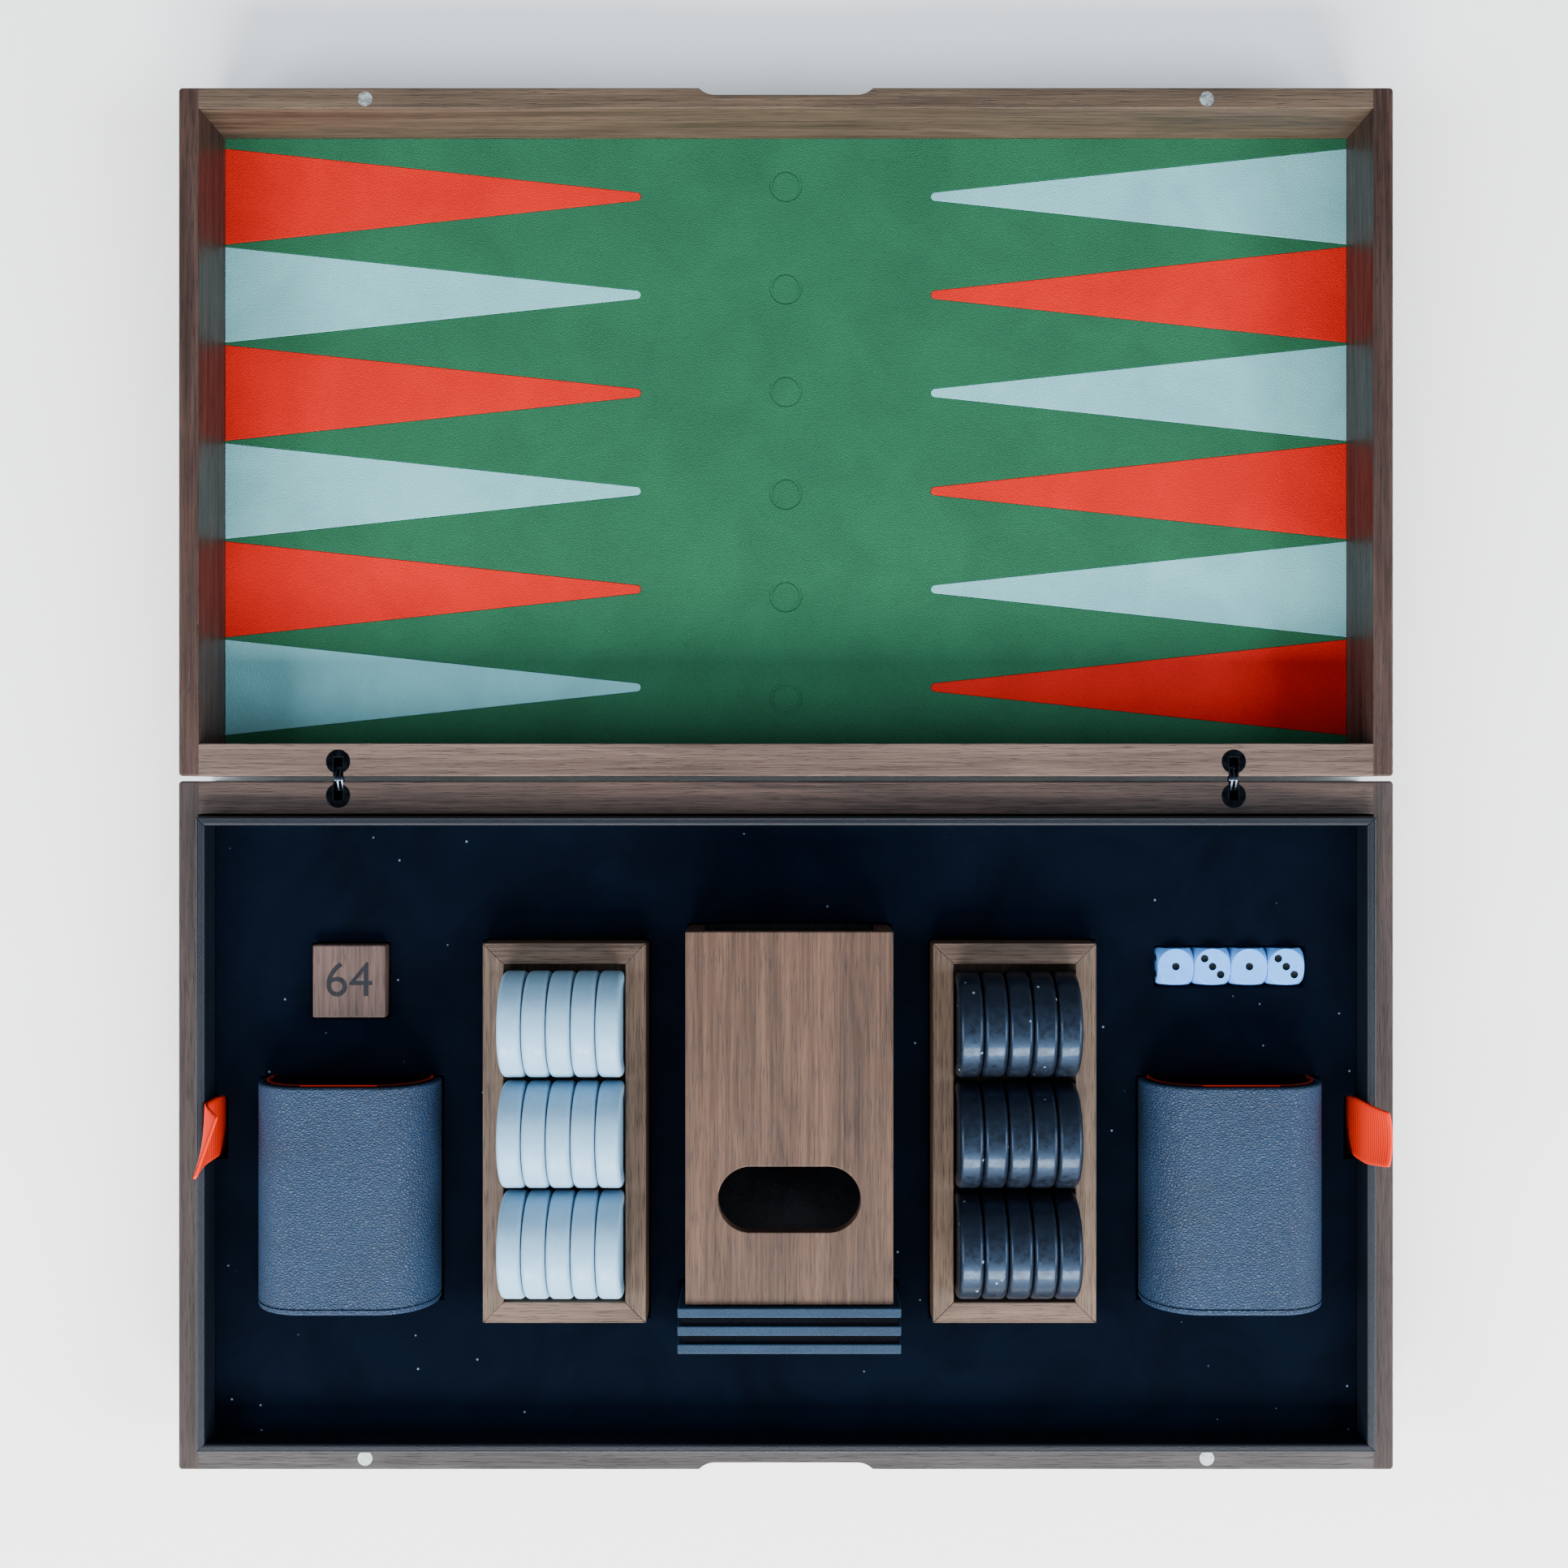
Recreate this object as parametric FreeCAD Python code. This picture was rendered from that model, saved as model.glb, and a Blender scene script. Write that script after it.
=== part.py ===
import FreeCAD, Part
import math
import os

from FreeCAD import Vector

# A backgammon set in a hinged walnut case, opened flat. Millimetres.
# +X is to the right along the hinge line, +Y goes from the hinge line towards the lid half,
# +Z is up. The origin is under the middle of the hinge line, on the surface the case lies on.

OVERCUT = 1.0               # how far a cutting shape passes the face it cuts

# ---- walnut case, two equal halves -------------------------------------------------------
CASE_WIDTH = 500.0          # along X
HALF_DEPTH = 283.4          # along Y, one half
HALF_GAP = 2.0              # between the two back faces when open flat
RIM_GAP_CLOSED = 0.3        # between the two rims when the case is closed
LID_ROOM = 3.8              # between the tallest piece and the closed lid's field
SIDE_WALL = 8.35
FRONT_RAIL = 8.5
CORNER_ROUND = 1.5          # upright outer corners
EDGE_ROUND = 0.8            # outer long edges
WELL_EDGE_ROUND = 0.4       # edges of the well at the rim

PANEL_THICK = 5.0
PANEL_TONGUE = 4.0          # how far the panel reaches into the rebate of the walls
FIELD_THICK = 2.0           # leather playing field on the panel
INLAY_CLEARANCE = 0.1       # seam round each inlaid point

NOTCH_WIDTH = 72.0          # finger notch in the front edge, at its mouth
NOTCH_FLAT = 58.0
NOTCH_DEPTH = 3.0
NOTCH_HEIGHT = 12.0
NOTCH_HOLLOW = 0.9          # hollow of the notch's shoulders

MAGNET_R = 3.0
MAGNET_LENGTH = 5.0
MAGNET_OFF_MIDDLE = 0.45    # magnet axis behind the middle of the front rail
MAGNET_X = 173.2
MAGNET_CLEARANCE = 0.05

# ---- playing field -----------------------------------------------------------------------
POINTS_PER_SIDE = 6
POINT_MARGIN = 3.8          # between the end points and the rails
POINT_GAP = 1.0             # between the bases of neighbouring points
TIP_GAP = 125.0             # between the tips of facing points
POINT_TIP_R = 1.8
MARK_COUNT = 6
MARK_PITCH = 44.2
MARK_OUTER_R = 7.0
MARK_INNER_R = 5.6
MARK_DEPTH = 0.3

# ---- barrel hinges -----------------------------------------------------------------------
HINGE_X = 184.3
BARREL_R = 5.0
BARREL_LENGTH = 14.0
BARREL_BACK_SKIN = 1.0      # wood between a barrel and the back face
BARREL_WELL_SKIN = 2.5      # wood between a barrel and the well
BARREL_CLEARANCE = 0.05
ARM_THICK = 0.8
ARM_GAP = 0.12              # between neighbouring arms, and beside the outer ones
ARM_END_R = 1.5
ARM_TIP_BELOW_RIM = 2.0     # centre of the arms' tips when open flat
ARM_TIP_CLEARANCE = 0.3
ARM_ROOM_BELOW = 1.15       # under the arms, in the barrel's slot
CHANNEL_BELOW_PIVOT = 1.05
CHANNEL_CLEARANCE = 0.3     # each side of the barrel's slot
ARM_PIN_R = 0.75
ARM_PIN_CLEARANCE = 0.05
ARM_PIN_HOLD = 1.3          # in the barrel, each side of its slot
ARMS_PER_HINGE = 4
LID_ARM_PLACES = (-1.5, 0.5)    # arm pitches from the hinge's middle
BASE_ARM_PLACES = (-0.5, 1.5)

# ---- lift-out tray -----------------------------------------------------------------------
TRAY_CLEARANCE = 0.9        # to the walls of the well, each side
TRAY_LIFT_OFF = 0.3         # above the base field
TRAY_PROUD = 7.0            # how far the border stands above the rim
TRAY_WALL = 3.8
TRAY_EDGE_ROUND = 1.2
TRAY_FLOOR = 1.7
FOAM_CLEARANCE = 0.1
FOAM_BASE_THICK = 13.5
BORDER_DEPTH = 12.5         # from the top of the border down to the foam
POCKET_CLEARANCE = 1.0      # round each piece in the top foam sheet
BED_CLEARANCE = 0.3         # under what beds into the lower foam sheet

RIBBON_WIDTH = 25.0
RIBBON_THICK = 0.8
RIBBON_LOOP_GAP = 3.2       # between the two legs of a loop
RIBBON_TOP = 21.0           # above the tray's border
RIBBON_LEAN = 3.3           # outwards, at the top
RIBBON_SLOT_CLEARANCE = 0.3
RIBBON_Y = -144.3

# ---- pieces in the tray ------------------------------------------------------------------
CUBE = 30.0
CUBE_ROUND = 1.6
CUBE_PLACE = (-180.1, -83.5)

DICE_COUNT = 4
DIE = 15.0
DIE_FACE_R = 7.27           # round flat of each face, where the cube meets the ball
DIE_GAP = 0.2
DICE_PLACE = (183.8, -77.6)

CUP_WIDTH = 73.6
CUP_THICK = 46.0
CUP_LENGTH = 91.0
CUP_ROUND = 21.5
CUP_WALL = 3.2
CUP_LINING = 1.0
CUP_LIP = 0.7               # how far the lining stands out of the mouth
CUP_BASE = 5.0
CUP_BASE_ROUND = 1.0
CUP_MOUTH_Y = -123.9
CUP_SINK = 8.5              # how deep a cup beds into the lower foam sheet
CUP_X = {"left": -179.7, "right": 183.0}

CHECKER_R = 21.5
CHECKER_THICK = 9.5
CHECKER_ROUND = 1.5
CHECKER_DISH_R = 15.0
CHECKER_DISH_DEPTH = 0.6
CHECKER_DISH_BLEND = 3.0
CHECKER_GAP = 0.3           # between neighbours in a row, and under each row
ROW_GAP = 1.8               # between rows
CHECKERS_PER_ROW = 5
ROWS = 3
BOX_WALL = 8.5
BOX_HEIGHT = 23.5
BOX_FLOOR = 3.0
BOX_TONGUE = 3.0
BOX_SIDE_CLEARANCE = 0.5    # between the outer checkers' faces and the box
BOX_END_CLEARANCE = 2.7     # between the end rows and the box
BOX_EDGE_ROUND = 0.5
BOX_PLACE = {"pearl": (-90.4, -144.6), "black": (93.3, -144.6)}

TOWER_WIDTH = 82.3
TOWER_LENGTH = 147.5
TOWER_DEPTH = 45.0
TOWER_WALL = 6.0
TOWER_EDGE_ROUND = 0.5
TOWER_PLACE = (1.3, -60.6)  # middle of its open end
WINDOW_LENGTH = 56.5
WINDOW_WIDTH = 26.0
WINDOW_FROM_FOOT = 41.6     # window's middle to the foot of the walnut tube
BAFFLE_THICK = 3.0
BAFFLE_REACH = 14.0
BAFFLE_PITCH = 30.0
BAFFLE_START = 22.0         # open end to the first baffle
PLATE_COUNT = 3
PLINTH_STEP = 3.0           # how far the plates stand proud of the tube, each side
PLATE_THICK = 3.8
PLATE_PROUD = 2.0           # how far the plates stand above and below the tube
SPACER_THICK = 3.3
SPACER_INSET = 1.1          # inside the plates' outline
NECK_THICK = 0.8
NECK_INSET = 2.0            # inside the tube's outline
PLATE_EDGE_ROUND = 0.5

# ---- derived heights ---------------------------------------------------------------------
FIELD_TOP = PANEL_THICK + FIELD_THICK
TRAY_BOTTOM = FIELD_TOP + TRAY_LIFT_OFF
FOAM_BOTTOM = TRAY_BOTTOM + TRAY_FLOOR
FOAM_MID = FOAM_BOTTOM + FOAM_BASE_THICK
CHECKER_TOP = BOX_FLOOR + CHECKER_GAP + 2 * CHECKER_R
TALLEST = max(CHECKER_TOP, TOWER_DEPTH + PLATE_PROUD, CUP_THICK - CUP_SINK)
# The two halves share the height that the closed case needs over the tallest piece.
HALF_HEIGHT = (FOAM_MID + TALLEST + LID_ROOM + FIELD_TOP - RIM_GAP_CLOSED) / 2
TRAY_TOP = HALF_HEIGHT + TRAY_PROUD
FOAM_TOP = TRAY_TOP - BORDER_DEPTH
RIBBON_ROOT_DEPTH = FOAM_TOP - FOAM_MID     # the loops stand on the lower foam sheet

# ---- derived places ----------------------------------------------------------------------
BARREL_FROM_BACK = BARREL_BACK_SKIN + BARREL_R
BACK_RAIL = BARREL_FROM_BACK + BARREL_R + BARREL_WELL_SKIN
BACK_Y = HALF_GAP / 2
FRONT_Y = BACK_Y + HALF_DEPTH
WELL_BACK_Y = BACK_Y + BACK_RAIL
WELL_FRONT_Y = FRONT_Y - FRONT_RAIL
WELL_MID_Y = (WELL_BACK_Y + WELL_FRONT_Y) / 2
WELL_X = CASE_WIDTH / 2 - SIDE_WALL
MAGNET_Y = FRONT_Y - FRONT_RAIL / 2 - MAGNET_OFF_MIDDLE
POINT_PITCH = (WELL_FRONT_Y - WELL_BACK_Y - 2 * POINT_MARGIN) / POINTS_PER_SIDE

BARREL_Y = BACK_Y + BARREL_FROM_BACK
# The arms turn half as far as the lid. Their tips go from the middle of the gap to the barrel
# axis at the rim, so the pivot is the centre of the quarter turn that joins these two places.
ARM_PIVOT_Y = (BARREL_Y + ARM_TIP_BELOW_RIM) / 2
ARM_PIVOT_Z = HALF_HEIGHT - ARM_PIVOT_Y
ARM_PITCH = ARM_THICK + ARM_GAP
BARREL_SLOT_WIDTH = ARMS_PER_HINGE * ARM_PITCH + ARM_GAP
BARREL_SLOT_DEPTH = ARM_PIVOT_Y + ARM_END_R + ARM_ROOM_BELOW
CHANNEL_WIDTH = BARREL_SLOT_WIDTH + 2 * CHANNEL_CLEARANCE
CHANNEL_DEPTH = ARM_PIVOT_Y + CHANNEL_BELOW_PIVOT
ARM_PIN_LENGTH = BARREL_SLOT_WIDTH + 2 * ARM_PIN_HOLD

TRAY_X = WELL_X - TRAY_CLEARANCE
TRAY_BACK_Y = -(WELL_BACK_Y + TRAY_CLEARANCE)
TRAY_FRONT_Y = -(WELL_FRONT_Y - TRAY_CLEARANCE)
FOAM_X = TRAY_X - TRAY_WALL - FOAM_CLEARANCE
FOAM_BACK_Y = TRAY_BACK_Y - TRAY_WALL - FOAM_CLEARANCE
FOAM_FRONT_Y = TRAY_FRONT_Y + TRAY_WALL + FOAM_CLEARANCE

DICE_SPAN = DICE_COUNT * (DIE + DIE_GAP) - DIE_GAP
ROW_PITCH = 2 * CHECKER_R + ROW_GAP
BOX_INNER_X = CHECKERS_PER_ROW * (CHECKER_THICK + CHECKER_GAP) - CHECKER_GAP + 2 * BOX_SIDE_CLEARANCE
BOX_INNER_Y = (ROWS - 1) * ROW_PITCH + 2 * CHECKER_R + 2 * BOX_END_CLEARANCE
BOX_X = BOX_INNER_X + 2 * BOX_WALL
BOX_Y = BOX_INNER_Y + 2 * BOX_WALL
CUP_FOOT_Y = CUP_MOUTH_Y - CUP_LENGTH
CUP_Z = FOAM_MID - CUP_SINK + CUP_THICK / 2
TOWER_FOOT_Y = TOWER_PLACE[1] - TOWER_LENGTH
PLINTH_LENGTH = NECK_THICK + PLATE_COUNT * PLATE_THICK + (PLATE_COUNT - 1) * SPACER_THICK
PLATE_X = TOWER_WIDTH + 2 * PLINTH_STEP
WINDOW_Y = TOWER_FOOT_Y + WINDOW_FROM_FOOT


def block(x0, x1, y0, y1, z0, z1):
    """A box between two corners, given in any order along each axis."""
    low = Vector(min(x0, x1), min(y0, y1), min(z0, z1))
    return Part.makeBox(abs(x1 - x0), abs(y1 - y0), abs(z1 - z0), low)


def plate(wire, z0, z1):
    """A flat outline, drawn at height zero, given a thickness."""
    face = Part.Face(wire)
    face.translate(Vector(0, 0, z0))
    return face.extrude(Vector(0, 0, z1 - z0))


def rounded(solid, radius, chosen):
    """The solid with the chosen edges rounded."""
    return solid.makeFillet(radius, [edge for edge in solid.Edges if chosen(edge)])


def runs_along(edge, axis):
    """True for a straight edge along the given axis, 0 for X, 1 for Y, 2 for Z."""
    if not isinstance(edge.Curve, Part.Line):
        return False
    return abs(abs(edge.tangentAt(edge.FirstParameter)[axis]) - 1) < 1e-6


def at_height(edge, z):
    """True for an edge that lies flat at one height."""
    box = edge.BoundBox
    return abs(box.ZMin - z) < 1e-6 and abs(box.ZMax - z) < 1e-6


def at_place_y(edge, y):
    """True for an edge that lies in one upright plane across the Y axis."""
    box = edge.BoundBox
    return abs(box.YMin - y) < 1e-6 and abs(box.YMax - y) < 1e-6


def across_hinge(shape):
    """The same shape in the other half of the open case."""
    return shape.mirror(Vector(0, 0, 0), Vector(0, 1, 0))


def disc(radius, length, base, direction):
    """A round bar."""
    return Part.makeCylinder(radius, length, base, direction)


# ---- the two halves, drawn on the +Y side ------------------------------------------------

def case_ring():
    """The four walls of a half as one eased ring, before it is parted into pieces."""
    ring = block(-CASE_WIDTH / 2, CASE_WIDTH / 2, BACK_Y, FRONT_Y, 0, HALF_HEIGHT)
    ring = rounded(ring, CORNER_ROUND, lambda edge: runs_along(edge, 2))
    ring = rounded(ring, EDGE_ROUND, lambda edge: at_height(edge, HALF_HEIGHT) or at_height(edge, 0))
    ring = ring.cut(block(-WELL_X, WELL_X, WELL_BACK_Y, WELL_FRONT_Y, -OVERCUT, HALF_HEIGHT + OVERCUT))

    def well_edge(edge):
        inside = abs(edge.CenterOfMass.x) < WELL_X + 0.01
        inside = inside and WELL_BACK_Y - 0.01 < edge.CenterOfMass.y < WELL_FRONT_Y + 0.01
        return inside and at_height(edge, HALF_HEIGHT)

    ring = rounded(ring, WELL_EDGE_ROUND, well_edge)
    return ring.cut(panel())


def panel():
    """The bottom panel, let into a rebate round the foot of the walls."""
    return block(
        -WELL_X - PANEL_TONGUE, WELL_X + PANEL_TONGUE,
        WELL_BACK_Y - PANEL_TONGUE, WELL_FRONT_Y + PANEL_TONGUE,
        0, PANEL_THICK,
    )


def finger_notch():
    """What the finger notch takes out of the front edge: a flat back with hollow shoulders."""
    shoulder = (NOTCH_WIDTH - NOTCH_FLAT) / 2
    back = FRONT_Y - NOTCH_DEPTH
    outer = FRONT_Y + OVERCUT
    middle = back + NOTCH_DEPTH / 2 - NOTCH_HOLLOW
    left_mouth = Vector(-NOTCH_WIDTH / 2, FRONT_Y, 0)
    left_back = Vector(-NOTCH_FLAT / 2, back, 0)
    left_mid = Vector(-NOTCH_FLAT / 2 - shoulder / 2, middle, 0)
    right_mouth = Vector(NOTCH_WIDTH / 2, FRONT_Y, 0)
    right_back = Vector(NOTCH_FLAT / 2, back, 0)
    right_mid = Vector(NOTCH_FLAT / 2 + shoulder / 2, middle, 0)
    left_out = Vector(-NOTCH_WIDTH / 2, outer, 0)
    right_out = Vector(NOTCH_WIDTH / 2, outer, 0)
    wire = Part.Wire([
        Part.makeLine(left_out, left_mouth),
        Part.Arc(left_mouth, left_mid, left_back).toShape(),
        Part.makeLine(left_back, right_back),
        Part.Arc(right_back, right_mid, right_mouth).toShape(),
        Part.makeLine(right_mouth, right_out),
        Part.makeLine(right_out, left_out),
    ])
    return plate(wire, HALF_HEIGHT - NOTCH_HEIGHT, HALF_HEIGHT + OVERCUT)


def magnet_bars(radius, length):
    """Round bars on the two magnet axes of a front rail, standing on the holes' floors."""
    z = HALF_HEIGHT - MAGNET_LENGTH
    up = Vector(0, 0, 1)
    return [disc(radius, length, Vector(side * MAGNET_X, MAGNET_Y, z), up) for side in (-1, 1)]


def hinge_holes():
    """The bored holes for the hinge barrels, with the open channels for the arms."""
    holes = []
    for side in (-1, 1):
        x = side * HINGE_X
        base = Vector(x, BARREL_Y, HALF_HEIGHT - BARREL_LENGTH)
        radius = BARREL_R + BARREL_CLEARANCE
        holes.append(disc(radius, BARREL_LENGTH + OVERCUT, base, Vector(0, 0, 1)))
        channel = block(
            x - CHANNEL_WIDTH / 2, x + CHANNEL_WIDTH / 2,
            BACK_Y - OVERCUT, BARREL_Y,
            HALF_HEIGHT - CHANNEL_DEPTH, HALF_HEIGHT + OVERCUT,
        )
        holes.append(channel)
    return holes


def hinge_pivot(side, radius, length):
    """A round bar along the pivot of one hinge's arms."""
    base = Vector(side * HINGE_X - length / 2, ARM_PIVOT_Y, ARM_PIVOT_Z)
    return disc(radius, length, base, Vector(1, 0, 0))


def hinge_barrel(side):
    """One slotted hinge barrel."""
    x = side * HINGE_X
    base = Vector(x, BARREL_Y, HALF_HEIGHT - BARREL_LENGTH)
    barrel = disc(BARREL_R, BARREL_LENGTH, base, Vector(0, 0, 1))
    slot_end = BARREL_Y + ARM_END_R + ARM_TIP_CLEARANCE
    slot = block(
        x - BARREL_SLOT_WIDTH / 2, x + BARREL_SLOT_WIDTH / 2,
        BARREL_Y - BARREL_R - OVERCUT, slot_end,
        HALF_HEIGHT - BARREL_SLOT_DEPTH, HALF_HEIGHT + OVERCUT,
    )
    return barrel.cut(slot).cut(hinge_pivot(side, ARM_PIN_R + ARM_PIN_CLEARANCE, 2 * BARREL_R))


def hinge_arms(side, places):
    """The two arms that one barrel holds, shown open flat with their tips in the gap."""
    pivot = Vector(0, ARM_PIVOT_Y, ARM_PIVOT_Z)
    tip = Vector(0, 0, HALF_HEIGHT - ARM_TIP_BELOW_RIM)
    reach = tip - pivot
    arms = []
    for place in places:
        x = side * HINGE_X + place * ARM_PITCH - ARM_THICK / 2
        start = pivot + Vector(x, 0, 0)
        bar = Part.makeBox(ARM_THICK, reach.Length, 2 * ARM_END_R, Vector(0, 0, -ARM_END_R))
        bar.rotate(Vector(0, 0, 0), Vector(1, 0, 0), math.degrees(math.atan2(reach.z, reach.y)))
        bar.translate(start)
        arm = bar.fuse(disc(ARM_END_R, ARM_THICK, start, Vector(1, 0, 0)))
        arm = arm.fuse(disc(ARM_END_R, ARM_THICK, start + reach, Vector(1, 0, 0))).removeSplitter()
        eye = start - Vector(OVERCUT, 0, 0)
        radius = ARM_PIN_R + ARM_PIN_CLEARANCE
        arms.append(arm.cut(disc(radius, ARM_THICK + 2 * OVERCUT, eye, Vector(1, 0, 0))))
    return arms


def point_outline(y, side, grow):
    """The outline of one point: a long triangle with a rounded tip, its base on the side wall."""
    half = (POINT_PITCH - POINT_GAP) / 2 + grow
    length = WELL_X - TIP_GAP / 2 + grow
    radius = POINT_TIP_R + grow
    centre = length - radius
    span = math.hypot(centre, half)
    turn = math.atan2(-half, centre) + math.asin(radius / span)
    run = math.sqrt(span * span - radius * radius)
    touch_x = run * math.cos(turn)
    touch_y = half + run * math.sin(turn)

    def place(along, across):
        return Vector(side * (WELL_X - along), y + across, 0)

    return Part.Wire([
        Part.makeLine(place(0, -half), place(0, half)),
        Part.makeLine(place(0, half), place(touch_x, touch_y)),
        Part.Arc(place(touch_x, touch_y), place(length, 0), place(touch_x, -touch_y)).toShape(),
        Part.makeLine(place(touch_x, -touch_y), place(0, -half)),
    ])


def point_rows():
    """Where the points lie: the row counted from the hinge, its middle, and its side."""
    first = WELL_MID_Y - (POINTS_PER_SIDE - 1) * POINT_PITCH / 2
    for row in range(POINTS_PER_SIDE):
        for side in (-1, 1):
            yield row, first + row * POINT_PITCH, side


def points(wanted, first_colour):
    """The inlaid points of one colour. Colours alternate along each side and across the board."""
    found = []
    for row, y, side in point_rows():
        colour = (row + (side > 0) + first_colour) % 2
        if colour == wanted:
            found.append(plate(point_outline(y, side, 0), PANEL_THICK, FIELD_TOP))
    return found


def field():
    """The leather field, with an opening for each point and pressed rings down the middle."""
    sheet = block(-WELL_X, WELL_X, WELL_BACK_Y, WELL_FRONT_Y, PANEL_THICK, FIELD_TOP)
    for row, y, side in point_rows():
        outline = point_outline(y, side, INLAY_CLEARANCE)
        sheet = sheet.cut(plate(outline, PANEL_THICK - OVERCUT, FIELD_TOP + OVERCUT))
    first = WELL_MID_Y - (MARK_COUNT - 1) * MARK_PITCH / 2
    for mark in range(MARK_COUNT):
        base = Vector(0, first + mark * MARK_PITCH, FIELD_TOP - MARK_DEPTH)
        height = MARK_DEPTH + OVERCUT
        up = Vector(0, 0, 1)
        sheet = sheet.cut(disc(MARK_OUTER_R, height, base, up).cut(disc(MARK_INNER_R, height, base, up)))
    return sheet


def half_case(first_colour, arm_places):
    """All the pieces of one half, by name."""
    ring = case_ring()
    outer_x = CASE_WIDTH / 2 + OVERCUT
    outer_y = FRONT_Y + OVERCUT
    top = HALF_HEIGHT + OVERCUT
    left = block(-outer_x, -WELL_X, 0, outer_y, -OVERCUT, top)
    right = block(WELL_X, outer_x, 0, outer_y, -OVERCUT, top)
    front = block(-WELL_X, WELL_X, WELL_MID_Y, outer_y, -OVERCUT, top)
    back = block(-WELL_X, WELL_X, 0, WELL_MID_Y, -OVERCUT, top)
    front_rail = ring.common(front).cut(finger_notch())
    for hole in magnet_bars(MAGNET_R + MAGNET_CLEARANCE, MAGNET_LENGTH + OVERCUT):
        front_rail = front_rail.cut(hole)
    back_rail = ring.common(back)
    for hole in hinge_holes():
        back_rail = back_rail.cut(hole)
    return {
        "side_left": [ring.common(left)],
        "side_right": [ring.common(right)],
        "front_rail": [front_rail],
        "hinge_rail": [back_rail],
        "panel": [panel()],
        "field": [field()],
        "points_red": points(1, first_colour),
        "points_pale": points(0, first_colour),
        "magnets": magnet_bars(MAGNET_R, MAGNET_LENGTH),
        "hinge_barrels": [hinge_barrel(side) for side in (-1, 1)],
        "hinge_pins": [hinge_pivot(side, ARM_PIN_R, ARM_PIN_LENGTH) for side in (-1, 1)],
        "hinge_arms_left": hinge_arms(-1, arm_places),
        "hinge_arms_right": hinge_arms(1, arm_places),
    }


# ---- lift-out tray -----------------------------------------------------------------------

def mitred_walls(x0, x1, y0, y1, z0, z1, wall, edge_round):
    """Four walls round a rectangle, parted along the mitres of its corners."""
    frame = block(x0, x1, y0, y1, z0, z1)
    frame = rounded(frame, edge_round, lambda edge: runs_along(edge, 2))
    low = z0 - OVERCUT
    high = z1 + OVERCUT
    frame = frame.cut(block(x0 + wall, x1 - wall, y0 + wall, y1 - wall, low, high))
    frame = rounded(frame, edge_round, lambda edge: at_height(edge, z1))
    inset = wall + OVERCUT
    corners = [(x0, y0), (x1, y0), (x1, y1), (x0, y1)]
    inner = [
        (x0 + inset, y0 + inset),
        (x1 - inset, y0 + inset),
        (x1 - inset, y1 - inset),
        (x0 + inset, y1 - inset),
    ]
    walls = []
    for number in range(len(corners)):
        after = (number + 1) % len(corners)
        outline = [corners[number], corners[after], inner[after], inner[number], corners[number]]
        wedge = Part.makePolygon([Vector(x, y, 0) for x, y in outline])
        walls.append(frame.common(plate(wedge, low, high)))
    return walls


def pocket(place_x, y0, y1, width, grow, z0, z1):
    """A straight-sided hollow for a piece of this width between two places along Y."""
    half = width / 2 + grow
    return block(place_x - half, place_x + half, min(y0, y1) - grow, max(y0, y1) + grow, z0, z1)


def cup_body(x, width, thick, y_mouth, y_foot, edge):
    """A solid bar of a cup's section, with its axis along Y."""
    bar = block(x - width / 2, x + width / 2, y_foot, y_mouth, CUP_Z - thick / 2, CUP_Z + thick / 2)
    return rounded(bar, edge, lambda side: runs_along(side, 1))


def ribbon_slot(side):
    """The slit at the foam's edge that holds the roots of a ribbon loop."""
    outer = FOAM_X + OVERCUT
    inner = FOAM_X - 2 * RIBBON_THICK - RIBBON_LOOP_GAP - 2 * RIBBON_SLOT_CLEARANCE
    half = RIBBON_WIDTH / 2 + RIBBON_SLOT_CLEARANCE
    bottom = FOAM_TOP - RIBBON_ROOT_DEPTH - RIBBON_SLOT_CLEARANCE
    top = FOAM_TOP + OVERCUT
    return block(side * outer, side * inner, RIBBON_Y - half, RIBBON_Y + half, bottom, top)


def ribbon(side):
    """A pull loop: two upright legs that lean outwards over the border and meet in a round top."""
    outer = FOAM_X - RIBBON_SLOT_CLEARANCE
    inner = outer - 2 * RIBBON_THICK - RIBBON_LOOP_GAP
    root = FOAM_TOP - RIBBON_ROOT_DEPTH
    knee = TRAY_TOP
    top = TRAY_TOP + RIBBON_TOP

    def outline(grow):
        low = root + RIBBON_THICK - grow
        radius = RIBBON_LOOP_GAP / 2 + grow
        shoulder = top - RIBBON_THICK - RIBBON_LOOP_GAP / 2
        middle = (outer + inner) / 2
        a = Vector(side * (middle - radius), 0, low)
        b = Vector(side * (middle - radius), 0, knee)
        c = Vector(side * (middle - radius + RIBBON_LEAN), 0, shoulder)
        crown = Vector(side * (middle + RIBBON_LEAN), 0, shoulder + radius)
        d = Vector(side * (middle + radius + RIBBON_LEAN), 0, shoulder)
        e = Vector(side * (middle + radius), 0, knee)
        f = Vector(side * (middle + radius), 0, low)
        wire = Part.Wire([
            Part.makeLine(a, b),
            Part.makeLine(b, c),
            Part.Arc(c, crown, d).toShape(),
            Part.makeLine(d, e),
            Part.makeLine(e, f),
            Part.makeLine(f, a),
        ])
        face = Part.Face(wire)
        face.translate(Vector(0, RIBBON_Y - RIBBON_WIDTH / 2, 0))
        return face.extrude(Vector(0, RIBBON_WIDTH, 0))

    return outline(RIBBON_THICK).cut(outline(0))


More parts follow.
